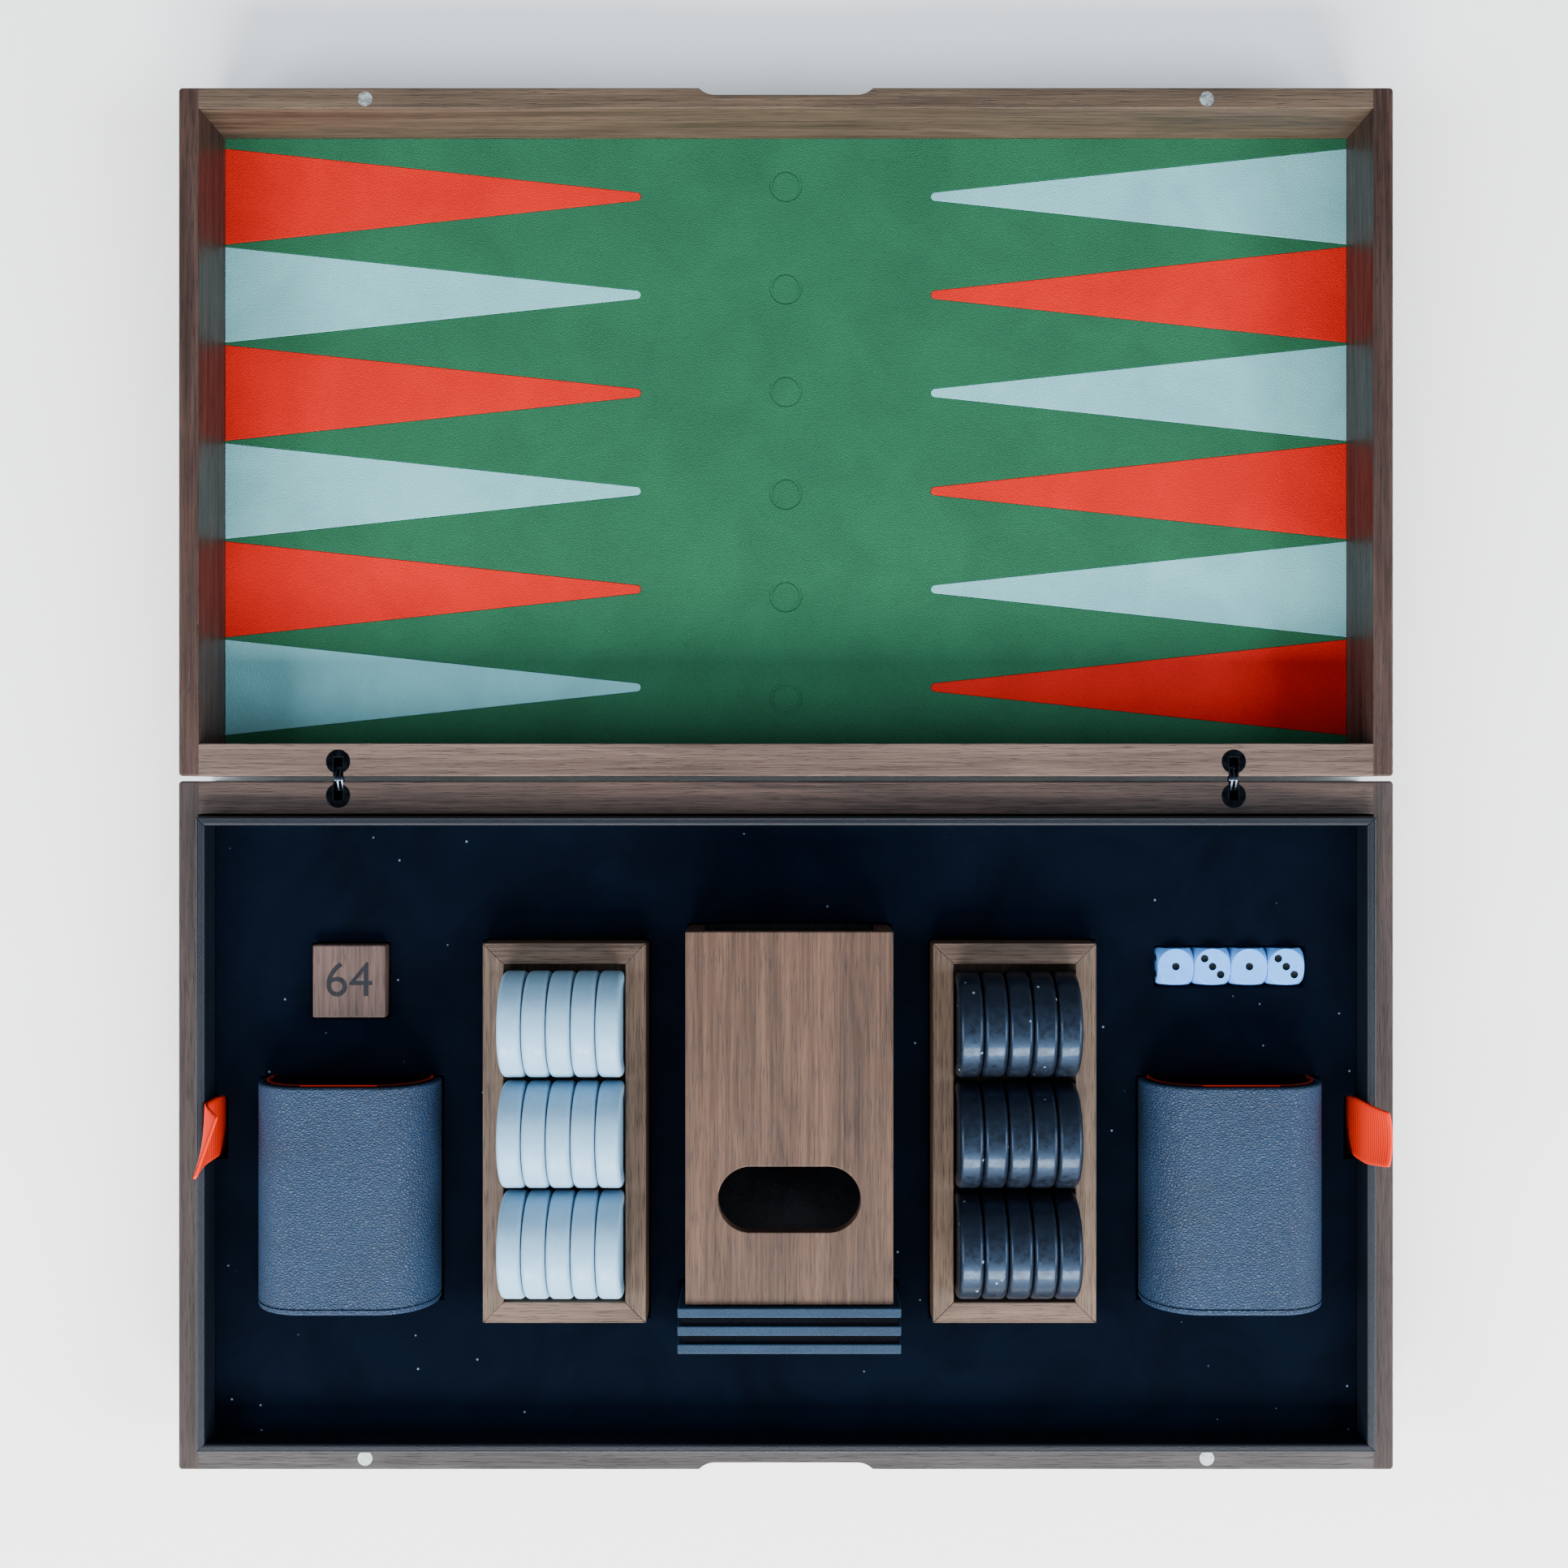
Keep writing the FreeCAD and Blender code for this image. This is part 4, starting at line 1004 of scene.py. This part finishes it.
@dataclass
class PullRibbon:
    """A folded loop of ribbon at one end of the tray, which lifts it out.

    Args:
        side: "left" or "right".
        lean: How far outwards the loop's top leans.
        twist: How much further out its south end leans than its north end.
        slump: How far its top slips to the south.
        inset: Distance of the loop's middle from the foam's outer edge.
        gap: Distance between the loop's legs.
        droop: The share of its height that the north end loses.
        bulge: How far the middle of its width stands out from its ends.
        squeeze: The share of its width that the bulge takes up.
        width: Width of the ribbon.
        thick: Thickness of the ribbon.
        steps: Steps along each leg.
        crown_steps: Steps round the loop's top.
        across_steps: Steps across the width.
    """

    side: str
    lean: float
    twist: float
    slump: float
    inset: float
    gap: float
    droop: float = 0.0
    bulge: float = 0.0
    squeeze: float = 0.0
    width: float = 25 * MM
    thick: float = 0.7 * MM
    steps: int = 14
    crown_steps: int = 8
    across_steps: int = 10

    def route(self, low: float, knee: float, top: float) -> list[tuple[float, float]]:
        """The loop seen from its end, as places across it and up it.

        Args:
            low: Height of the roots.
            knee: Height where the legs start to lean.
            top: Height of the loop's top.

        Returns:
            The places from the outer root over the top to the inner root.
        """
        radius = self.gap / 2
        shoulder = top - radius
        legs = []
        for number in range(self.steps + 1):
            share = number / self.steps
            legs.append((self.lean * share ** 1.5, knee + (shoulder - knee) * share))
        crown = []
        for number in range(1, self.crown_steps):
            turn = math.pi * number / self.crown_steps
            crown.append((self.lean + radius * math.cos(turn), shoulder + radius * math.sin(turn)))
        outer = [(radius + out, up) for out, up in legs]
        inner = [(-radius + out, up) for out, up in reversed(legs)]
        return [(radius, low)] + outer + crown + inner + [(-radius, low)]

    def shape(self, across: float, out: float, up: float, knee: float, top: float) -> Vector:
        """Where a place on the flat ribbon ends up.

        Args:
            across: Share of the width, from the north edge.
            out: Place across the loop.
            up: Height.
            knee: Height where the legs start to lean.
            top: Height of the loop's top.

        Returns:
            Distance outwards, distance south of the loop's middle, and height.
        """
        rise = max(0.0, up - knee) / (top - knee)
        arch = 1 - (2 * across - 1) ** 2
        out += rise ** 1.3 * self.twist * (across - 0.5) + rise * self.bulge * (arch - 0.5)
        south = (across - 0.5) * self.width * (1 - self.squeeze * rise)
        south += self.slump * rise ** 1.2 * (0.4 + 0.6 * across)
        return Vector((out, south, up - (top - knee) * rise * self.droop * (1 - across)))

    def build(self) -> None:
        """A flat grid bent along the loop's route, given a thickness."""
        node = f"ribbon_{self.side}"
        low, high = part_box(node)
        outwards = -1 if self.side == "left" else 1
        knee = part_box("tray_walls")[1].z
        top = high.z - self.thick
        middle_y = (low.y + high.y) / 2
        root_x = outwards * (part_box("tray_foam_base")[1].x - self.inset)
        route = self.route(low.z + self.thick, knee, top)
        lengths = [0.0]
        for (a, b), (c, d) in zip(route, route[1:]):
            lengths.append(lengths[-1] + math.hypot(c - a, d - b))
        clear_selection()
        bpy.ops.mesh.primitive_grid_add(
            x_subdivisions=self.across_steps, y_subdivisions=len(route) - 1, size=1, calc_uvs=True,
        )
        piece = bpy.context.object
        piece.name = f"pull_ribbon_{self.side}"
        for vertex in piece.data.vertices:
            number = round((vertex.co.y + 0.5) * (len(route) - 1))
            spot = self.shape(0.5 - vertex.co.x, *route[number], knee, top)
            vertex.co = Vector((root_x + outwards * spot.x, middle_y - spot.y, spot.z))
        for corner in piece.data.uv_layers[0].data:
            corner.uv.y = lengths[round(corner.uv.y * (len(route) - 1))] / lengths[-1]
        apply_modifier(piece, "SOLIDIFY", thickness=self.thick, offset=0.0)
        apply_modifier(piece, "SUBSURF", levels=1, render_levels=1)
        with editing(piece):
            turn_outwards()
        smooth_faces(piece, 50)
        length = lengths[-1] - (top - knee) * self.droop
        finish = Grosgrain(f"ribbon_{self.side}", RIBBON_ORANGE, self.width, length)
        dress(piece, "tray", "orange_ribbon", finish, replaces=(node,))


# ---- checkers and their boxes ------------------------------------------------------------

@dataclass
class CheckerBox:
    """A mitred walnut box with three rows of five checkers.

    Args:
        name: "pearl" or "black".
        finish: The checkers' plastic.
        edge: Rounding of the box's edges and mitres.
        rows: Rows of checkers.
        per_row: Checkers in a row.
        thick: Thickness of a checker.
        rim: Width of a checker's flat rim.
        blend: Width of the slope from the rim to the dish.
        dish: Depth of the dish.
        round_over: Rounding of a checker's edge.
        dish_edge: Rounding at both ends of the dish's slope.
        facets: Steps round a checker.
        rim_reach: How far from its circle an edge's end may lie.
    """

    name: str
    finish: Finish
    edge: float = 0.35 * MM
    rows: int = 3
    per_row: int = 5
    thick: float = 9.5 * MM
    rim: float = 3.5 * MM
    blend: float = 3.0 * MM
    dish: float = 0.6 * MM
    round_over: float = 2.0 * MM
    dish_edge: float = 0.8 * MM
    facets: int = 72
    rim_reach: float = 0.1 * MM

    def build(self) -> None:
        """The box, then each row of checkers."""
        self.make_walls()
        finish_node(f"{self.name}_box_floor", BOX_LONG_WALNUT)
        for row in range(1, self.rows + 1):
            self.make_row(row)

    def make_walls(self) -> None:
        """The four mitred walls, each with its grain along it."""
        node = f"{self.name}_box_walls"
        piece = mitred_boards(node, f"{self.name}_mitred_walls", self.edge, 3)
        body = f"{self.name}_box"
        dress(piece, body, "walnut", BOX_LONG_WALNUT, BOX_SHORT_WALNUT, replaces=(node,))

    def make_checker(self, centre: Vector, radius: float) -> Piece:
        """One checker on edge: a disc with rounded edges and a dish in each face.

        Args:
            centre: The checker's middle.
            radius: The checker's radius.

        Returns:
            The new piece, without its name.
        """
        clear_selection()
        bpy.ops.mesh.primitive_cylinder_add(
            vertices=self.facets, radius=radius, depth=self.thick,
            location=centre, rotation=(0, math.pi / 2, 0),
        )
        piece = bpy.context.object
        settle(piece)
        with editing(piece):
            pick_faces(piece, lambda middle, normal: abs(normal.x) > 0.9)
            bpy.ops.mesh.inset(thickness=self.rim, depth=0, use_individual=True)
            bpy.ops.mesh.inset(thickness=self.blend, depth=-self.dish, use_individual=True)
            bpy.ops.mesh.inset(thickness=self.blend, depth=0, use_individual=True)
            pick_edges(piece, lambda a, b: self.on_rim(a - centre, b - centre, radius))
            bpy.ops.mesh.bevel(offset=self.round_over, segments=6, profile=0.5)
            inner = radius - self.rim
            pick_edges(piece, lambda a, b: any(
                self.on_rim(a - centre, b - centre, rim) for rim in (inner, inner - self.blend)
            ))
            bpy.ops.mesh.bevel(offset=self.dish_edge, segments=3, profile=0.5)
        smooth_faces(piece, 45)
        return piece

    def on_rim(self, a: Vector, b: Vector, radius: float) -> bool:
        """True for an edge that lies in a face and runs round it at this radius.

        Args:
            a: One end, from the checker's middle.
            b: The other end.
            radius: The radius that both ends are near.

        Returns:
            Whether the edge is part of that circle.
        """
        near = all(abs(math.hypot(end.y, end.z) - radius) < self.rim_reach for end in (a, b))
        return abs(a.x - b.x) < NEAR and near

    def make_row(self, row: int) -> None:
        """The checkers of one row.

        Args:
            row: Which row, counted from the hinge.
        """
        node = f"{self.name}_checkers_{row}"
        low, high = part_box(node)
        radius = (high.z - low.z) / 2
        first = Vector((low.x + self.thick / 2, (low.y + high.y) / 2, (low.z + high.z) / 2))
        pitch = (high.x - low.x - self.thick) / (self.per_row - 1)
        checker = self.make_checker(first, radius)
        for number in range(self.per_row):
            name = f"{self.name}_checker_{row}_{number + 1}"
            if number == 0:
                piece = checker
                piece.name = name
            else:
                piece = copy_of_piece(checker, name, Matrix.Translation((number * pitch, 0, 0)))
            dress(piece, f"{self.name}_row_{row}", f"{self.name}_plastic", self.finish, replaces=(node,))


# ---- dice cups ---------------------------------------------------------------------------

@dataclass
class DiceCup:
    """A dice cup lying on its side: a leather shell and base, and a lining with a rolled lip.

    Args:
        side: "left" or "right".
        corner: Rounding of the cup's section.
        wall: Thickness of the shell.
        lining: Thickness of the lining.
        lip: Rounding of the shell's turned rim.
        seam: Distance of the seam from the foot.
        seam_width: Width of the seam's groove.
        seam_depth: Depth of the seam's groove.
        seam_lean: How far each side of the groove leans in.
        lining_lip: Rounding of the lining's rim.
        foot_edge: Rounding of the foot.
        facets: Steps in each corner of the section.
    """

    side: str
    corner: float = 21.5 * MM
    wall: float = 3.2 * MM
    lining: float = 1.0 * MM
    lip: float = 1.1 * MM
    seam: float = 2.1 * MM
    seam_width: float = 0.7 * MM
    seam_depth: float = 0.6 * MM
    seam_lean: float = 0.08 * MM
    lining_lip: float = 0.42 * MM
    foot_edge: float = 1.0 * MM
    facets: int = 20

    def section_bar(self, name: str, low: Vector, high: Vector, corner: float) -> Piece:
        """A bar along Y with the cup's rounded section.

        Args:
            name: The new object's name.
            low: Lowest corner.
            high: Highest corner.
            corner: Rounding of the section.

        Returns:
            The new object.
        """
        piece = add_block(name, low, high)
        with editing(piece):
            pick_edges(piece, lambda a, b: abs(a.y - b.y) > high.y - low.y - NEAR)
            bpy.ops.mesh.bevel(offset=corner, segments=self.facets, profile=0.5)
        return piece

    def open_tube(self, piece: Piece, wall: float, lip: float) -> None:
        """Hollow a bar right through and turn its mouth over.

        Args:
            piece: The bar.
            wall: Thickness that is left.
            lip: Rounding of the mouth's edges.
        """
        mouth = max(vertex.co.y for vertex in piece.data.vertices)
        with editing(piece):
            pick_faces(piece, lambda middle, normal: abs(normal.y) > 0.99)
            bpy.ops.mesh.inset(thickness=wall, depth=0, use_individual=True)
            bpy.ops.mesh.bridge_edge_loops()
            pick_edges(piece, lambda a, b: (
                min(a.y, b.y) > mouth - NEAR and self.along_rim((b - a).length, wall)
            ))
            bpy.ops.mesh.bevel(offset=lip, segments=4, profile=0.5)
            turn_outwards()
        smooth_faces(piece, 40)

    def along_rim(self, length: float, wall: float) -> bool:
        """True for an edge that runs round the rim, not across its thickness."""
        return not wall * 0.98 < length < wall * 1.5

    def build(self) -> None:
        """Shell, lining and base."""
        body = f"{self.side}_cup"
        low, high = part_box(f"{self.side}_cup_shell")
        shell = self.section_bar(f"{self.side}_cup_leather", low, high, self.corner)
        self.open_tube(shell, self.wall, self.lip)
        dress(shell, body, "slate_leather", SLATE_LEATHER, replaces=(f"{self.side}_cup_shell",))

        low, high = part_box(f"{self.side}_cup_lining")
        sleeve = self.section_bar(f"{self.side}_cup_suede", low, high, self.corner - self.wall)
        self.open_tube(sleeve, self.lining, self.lining_lip)
        # Faces near the mouth keep the orange suede. The inner faces take dark suede as painted shade
        # inside the cup.
        for face in sleeve.data.polygons:
            face.material_index = 0 if face.center.y > high.y - self.lip else 1
        replaced = (f"{self.side}_cup_lining",)
        dress(sleeve, body, "orange_lining", ORANGE_SUEDE, SUEDE_PAINTED_SHADE, replaces=replaced)

        self.make_base(body)

    def make_base(self, body: str) -> None:
        """The closed base, with a seam round it near the foot.

        Args:
            body: The body that it rides on.
        """
        low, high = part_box(f"{self.side}_cup_base")
        base = self.section_bar(f"{self.side}_cup_foot", low, high, self.corner)
        near = low.y + self.seam
        far = near + self.seam_width
        with editing(base):
            for cut in (near, far):
                bpy.ops.mesh.select_all(action="SELECT")
                bpy.ops.mesh.bisect(plane_co=(0, cut, 0), plane_no=(0, 1, 0))
            pick_faces(base, lambda middle, normal: near < middle.y < far and abs(normal.y) < 0.5)
            bpy.ops.mesh.inset(thickness=self.seam_lean, depth=-self.seam_depth)
            pick_edges(base, lambda a, b: max(a.y, b.y) < low.y + NEAR)
            bpy.ops.mesh.bevel(offset=self.foot_edge, segments=4, profile=0.5)
        smooth_faces(base, 40)
        dress(base, body, "slate_leather", SLATE_LEATHER, replaces=(f"{self.side}_cup_base",))


# ---- the dice tower ----------------------------------------------------------------------

@dataclass
class DiceTower:
    """The dice tower, lying on its back, with a window in its front and a stepped foot.

    Args:
        edge: Rounding of the boards' edges.
        spacer_edge: Rounding of the spacers' edges.
    """

    edge: float = 0.4 * MM
    spacer_edge: float = 0.3 * MM

    def build(self) -> None:
        """The walnut boards, then the leather-covered foot."""
        boards = (
            ("tower_front", "tower_windowed_board", TOWER_WALNUT),
            # The back board and the baffles take near-black wood as painted shade inside the tower.
            ("tower_back", "tower_back_board", SHADE_DARK_WALNUT),
            ("tower_sides", "tower_side_boards", TOWER_WALNUT),
            ("tower_baffles", "tower_inner_baffles", SHADE_DARK_WALNUT),
        )
        for node, name, finish in boards:
            piece = copy_of_node(node, name)
            ease(piece, self.edge, 3, 40)
            dress(piece, "dice_tower", "walnut", finish, replaces=(node,))
        finish_node("tower_plinth_plates", PLINTH_LEATHER)
        # The recessed spacers take near-black leather as painted shade between the foot's plates.
        spacers = copy_of_node("tower_plinth_spacers", "tower_foot_spacers")
        ease(spacers, self.spacer_edge, 2, 40)
        dress(spacers, "dice_tower", "slate_leather", SPACER_SHADE_LEATHER, replaces=("tower_plinth_spacers",))


# ---- doubling cube and dice --------------------------------------------------------------

@dataclass
class DoublingCube:
    """The walnut doubling cube, with a dark numeral let into each face.

    Args:
        edge: Rounding of the cube's edges.
        type_size: Size of the numerals' type.
        sunk: Depth of the numerals' beds.
        below: How far the inlays lie below the faces.
    """

    edge: float = 0.8 * MM
    type_size: float = 20.25 * MM
    sunk: float = 0.8 * MM
    below: float = 0.12 * MM

    def numerals(self, name: str, middle: Vector, half: float, out: float) -> Piece:
        """The six numerals as one mesh of solid figures.

        Args:
            name: The new object's name.
            middle: The cube's middle.
            half: Half of the cube's size.
            out: How far the figures' tops stand beyond the faces.

        Returns:
            The new object.
        """
        quarter = math.pi / 2
        faces = (
            ("64", (0, 0, 0)), ("2", (math.pi, 0, 0)),
            ("4", (quarter, 0, 0)), ("8", (quarter, 0, quarter)),
            ("16", (quarter, 0, 2 * quarter)), ("32", (quarter, 0, -quarter)),
        )
        figures = []
        for text, turn in faces:
            clear_selection()
            bpy.ops.object.text_add(location=(0, 0, 0))
            figure = bpy.context.object
            figure.data.body = text
            figure.data.size = self.type_size
            figure.data.align_x = "CENTER"
            figure.data.align_y = "CENTER"
            figure.data.extrude = (self.sunk + out) / 2
            figure.data.resolution_u = 6
            bpy.ops.object.convert(target="MESH")
            figure = bpy.context.object
            lift = Matrix.Translation((0, 0, half + (out - self.sunk) / 2))
            figure.data.transform(Matrix.Translation(middle) @ Euler(turn).to_matrix().to_4x4() @ lift)
            figures.append(figure)
        piece = join(figures)
        piece.name = name
        with editing(piece):
            bpy.ops.mesh.select_all(action="SELECT")
            bpy.ops.mesh.remove_doubles(threshold=NEAR)
            turn_outwards()
        return piece

    def build(self) -> None:
        """The cube with its beds cut, and the inlays in them."""
        low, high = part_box("doubling_cube")
        middle = (low + high) / 2
        half = (high.x - low.x) / 2
        cube = add_block("doubling_cube_walnut", low, high)
        ease(cube, self.edge, 5)
        beds = self.numerals("numeral_beds", middle, half, 1 * MM)
        apply_modifier(cube, "BOOLEAN", operation="DIFFERENCE", object=beds, solver="EXACT")
        bpy.data.objects.remove(beds)
        smooth_faces(cube, 35)
        dress(cube, "cube", "walnut", CUBE_WALNUT, replaces=("doubling_cube",))
        inlays = self.numerals("doubling_cube_numerals", middle, half, -self.below)
        smooth_faces(inlays, 30)
        dress(inlays, "cube", "walnut", INLAY_WOOD)


@dataclass
class Dice:
    """Four dice in a row, showing one and three in turn.

    Args:
        count: How many dice.
        pip: Radius of a pip at the face.
        pip_depth: Depth of a pip.
        spread: Distance of the outer pips from a face's middle.
        edge: Rounding of the cube's edges, before its corners are turned off.
        face_radius: Radius of a face's round flat, where the cube meets the ball.
    """

    count: int = 4
    pip: float = 1.6 * MM
    pip_depth: float = 0.7 * MM
    spread: float = 3.3 * MM
    edge: float = 0.25 * MM
    face_radius: float = 7.27 * MM

    def pip_places(self, half: float) -> list[Vector]:
        """The middle of each pip, with one on top, three on the right and two at the back.

        Args:
            half: Half of a die's size.

        Returns:
            The places on the faces of a die at the origin.
        """
        s = self.spread
        spots = {
            1: [(0, 0)],
            2: [(-s, s), (s, -s)],
            3: [(-s, -s), (0, 0), (s, s)],
            4: [(-s, -s), (-s, s), (s, -s), (s, s)],
            5: [(-s, -s), (-s, s), (0, 0), (s, -s), (s, s)],
            6: [(-s, -s), (-s, 0), (-s, s), (s, -s), (s, 0), (s, s)],
        }
        places = []
        for value, axis, sign in ((1, 2, 1), (6, 2, -1), (3, 0, 1), (4, 0, -1), (2, 1, 1), (5, 1, -1)):
            for a, b in spots[value]:
                place = [a, b]
                place.insert(axis, sign * half)
                places.append(Vector(place))
        return places

    def make_die(self, size: float, ball: float) -> Piece:
        """One die at the origin: what a cube and a ball share, with a dent for each pip.

        Args:
            size: The die's size.
            ball: The ball's radius.

        Returns:
            The new piece, with its pips in its second material slot.
        """
        half = size / 2
        die = add_block("die_pattern", Vector((-half,) * 3), Vector((half,) * 3))
        ease(die, self.edge, 2)
        clear_selection()
        bpy.ops.mesh.primitive_uv_sphere_add(segments=96, ring_count=64, radius=ball)
        sphere = bpy.context.object
        settle(sphere)
        apply_modifier(die, "BOOLEAN", operation="INTERSECT", object=sphere, solver="EXACT")
        bpy.data.objects.remove(sphere)
        radius = (self.pip ** 2 + self.pip_depth ** 2) / (2 * self.pip_depth)
        dents = []
        for place in self.pip_places(half):
            outward = Vector([round(value / half) if abs(value) > half * 0.9 else 0 for value in place])
            clear_selection()
            bpy.ops.mesh.primitive_uv_sphere_add(
                segments=32, ring_count=24, radius=radius,
                location=place + outward * (radius - self.pip_depth),
            )
            dents.append(bpy.context.object)
        cutter = join(dents)
        settle(cutter)
        for piece in (die, cutter):
            piece.data.materials.clear()
            for finish in (WHITE_PLASTIC, PIP_PAINT):
                piece.data.materials.append(material_of(finish))
        for face in cutter.data.polygons:
            face.material_index = 1
        apply_modifier(die, "BOOLEAN", operation="DIFFERENCE", object=cutter, solver="EXACT")
        bpy.data.objects.remove(cutter)
        smooth_faces(die, 35)
        return die

    def build(self) -> None:
        """The dice, each turned to show its value."""
        low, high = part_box("die_1")
        size = high.z - low.z
        ball = math.hypot(size / 2, self.face_radius)
        pattern = self.make_die(size, ball)
        to_three = Matrix.Rotation(-math.pi / 2, 4, "Y")
        for number in range(1, self.count + 1):
            node = f"die_{number}"
            low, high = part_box(node)
            spun = Matrix.Rotation(math.pi / 2 * (number // 2), 4, "Z")
            place = Matrix.Translation((low + high) / 2) @ (spun if number % 2 else to_three)
            piece = copy_of_piece(pattern, f"{node}_ivory", place)
            dress(piece, node, "white_plastic", WHITE_PLASTIC, PIP_PAINT, replaces=(node,))
        bpy.data.objects.remove(pattern)


# ---- floor, light and camera -------------------------------------------------------------

@dataclass(frozen=True)
class SoftBox:
    """A rectangular soft light, aimed at the middle of the set.

    Args:
        name: The light's name.
        place: Where it stands.
        size: Its width and height.
        watts: Its power.
        colour: Its colour.
    """

    name: str
    place: tuple[float, float, float]
    size: tuple[float, float]
    watts: float
    colour: tuple[float, float, float]

    def build(self) -> None:
        """The lamp, turned towards the middle of the set."""
        lamp = bpy.data.lights.new(self.name, "AREA")
        lamp.shape = "RECTANGLE"
        lamp.size, lamp.size_y = self.size
        lamp.energy = self.watts
        lamp.color = self.colour
        light = new_object(self.name, lamp)
        light.location = self.place
        light.rotation_euler = (-Vector(self.place)).to_track_quat("-Z", "Y").to_euler()


@dataclass
class Studio:
    """The pale ground, the soft light and the camera over the set.

    Args:
        ground: Size of the ground.
        camera_height: Height of the camera.
        camera_x: The camera's place along X.
        camera_y: The camera's place along Y.
        lens: Focal length, in millimetres, on a 36 mm sensor.
        sky: Colour of the even surround.
        sky_strength: Strength of the surround.
        lights: A broad key from the front and a cool softbox at each side.
    """

    ground: float = 4.0
    camera_height: float = 0.740
    camera_x: float = -0.8 * MM
    camera_y: float = -2.2 * MM
    lens: float = 39.06
    sky: Paint = (0.84, 0.92, 1.0, 1.0)
    sky_strength: float = 0.40
    lights: tuple[SoftBox, ...] = (
        SoftBox("key", (0, -2.05, 1.4), (2.4, 0.8), 245, (1.0, 0.975, 0.94)),
        SoftBox("left_fill", (-1.9, -0.5, 1.4), (1.4, 0.9), 74, (0.80, 0.91, 1.0)),
        SoftBox("right_fill", (1.9, -0.5, 1.4), (1.4, 0.9), 84, (0.80, 0.91, 1.0)),
    )

    def build(self) -> None:
        """Ground, lights and camera."""
        self.make_ground()
        self.make_lights()
        self.make_camera()

    def make_ground(self) -> None:
        """A wide flat sheet of paper under the set."""
        clear_selection()
        bpy.ops.mesh.primitive_plane_add(size=self.ground, location=(0, 0, 0))
        sheet = bpy.context.object
        sheet.name = "ground"
        settle(sheet)
        sheet.data.materials.append(material_of(PlainPaper("ground_paper", paint(250, 248, 247))))

    def make_lights(self) -> None:
        """The even pale surround and the softboxes."""
        world = bpy.data.worlds.new("surround")
        bpy.context.scene.world = world
        world.use_nodes = True
        background = world.node_tree.nodes["Background"]
        background.inputs["Color"].default_value = self.sky
        background.inputs["Strength"].default_value = self.sky_strength
        for light in self.lights:
            light.build()

    def make_camera(self) -> None:
        """The camera, straight above the middle of the open case."""
        camera = bpy.data.cameras.new("camera")
        camera.lens = self.lens
        camera.sensor_width = 36
        camera.clip_start = 0.01
        holder = new_object("camera", camera)
        holder.location = (self.camera_x, self.camera_y, self.camera_height)
        bpy.context.scene.camera = holder


def main() -> None:
    """Build the set's surroundings, then the set piece by piece."""
    logging.basicConfig(level=logging.INFO, format="%(message)s", stream=sys.stdout)
    Studio().build()
    CaseHalf("lid", LID_SIDE_WALNUT, TOP_RAIL_WALNUT, LID_HINGE_WALNUT).build()
    CaseHalf("base", BASE_SIDE_WALNUT, BASE_FRONT_WALNUT, BASE_HINGE_WALNUT).build()
    for half in ("lid", "base"):
        BarrelHinges(half).build()
    LiftOutTray().build()
    PullRibbon(
        "left", lean=-4.8 * MM, twist=6 * MM, slump=3.75 * MM, inset=0.9 * MM, gap=1.0 * MM,
        droop=0.45, squeeze=0.16,
    ).build()
    PullRibbon(
        "right", lean=2.6 * MM, twist=0, slump=-2 * MM, inset=0.7 * MM, gap=0.8 * MM,
        bulge=1.2 * MM, squeeze=0.08,
    ).build()
    CheckerBox("pearl", PEARL_PLASTIC).build()
    CheckerBox("black", BLACK_PLASTIC).build()
    for side in ("left", "right"):
        DiceCup(side).build()
    DiceTower().build()
    DoublingCube().build()
    Dice().build()


if __name__ == "__main__":
    main()
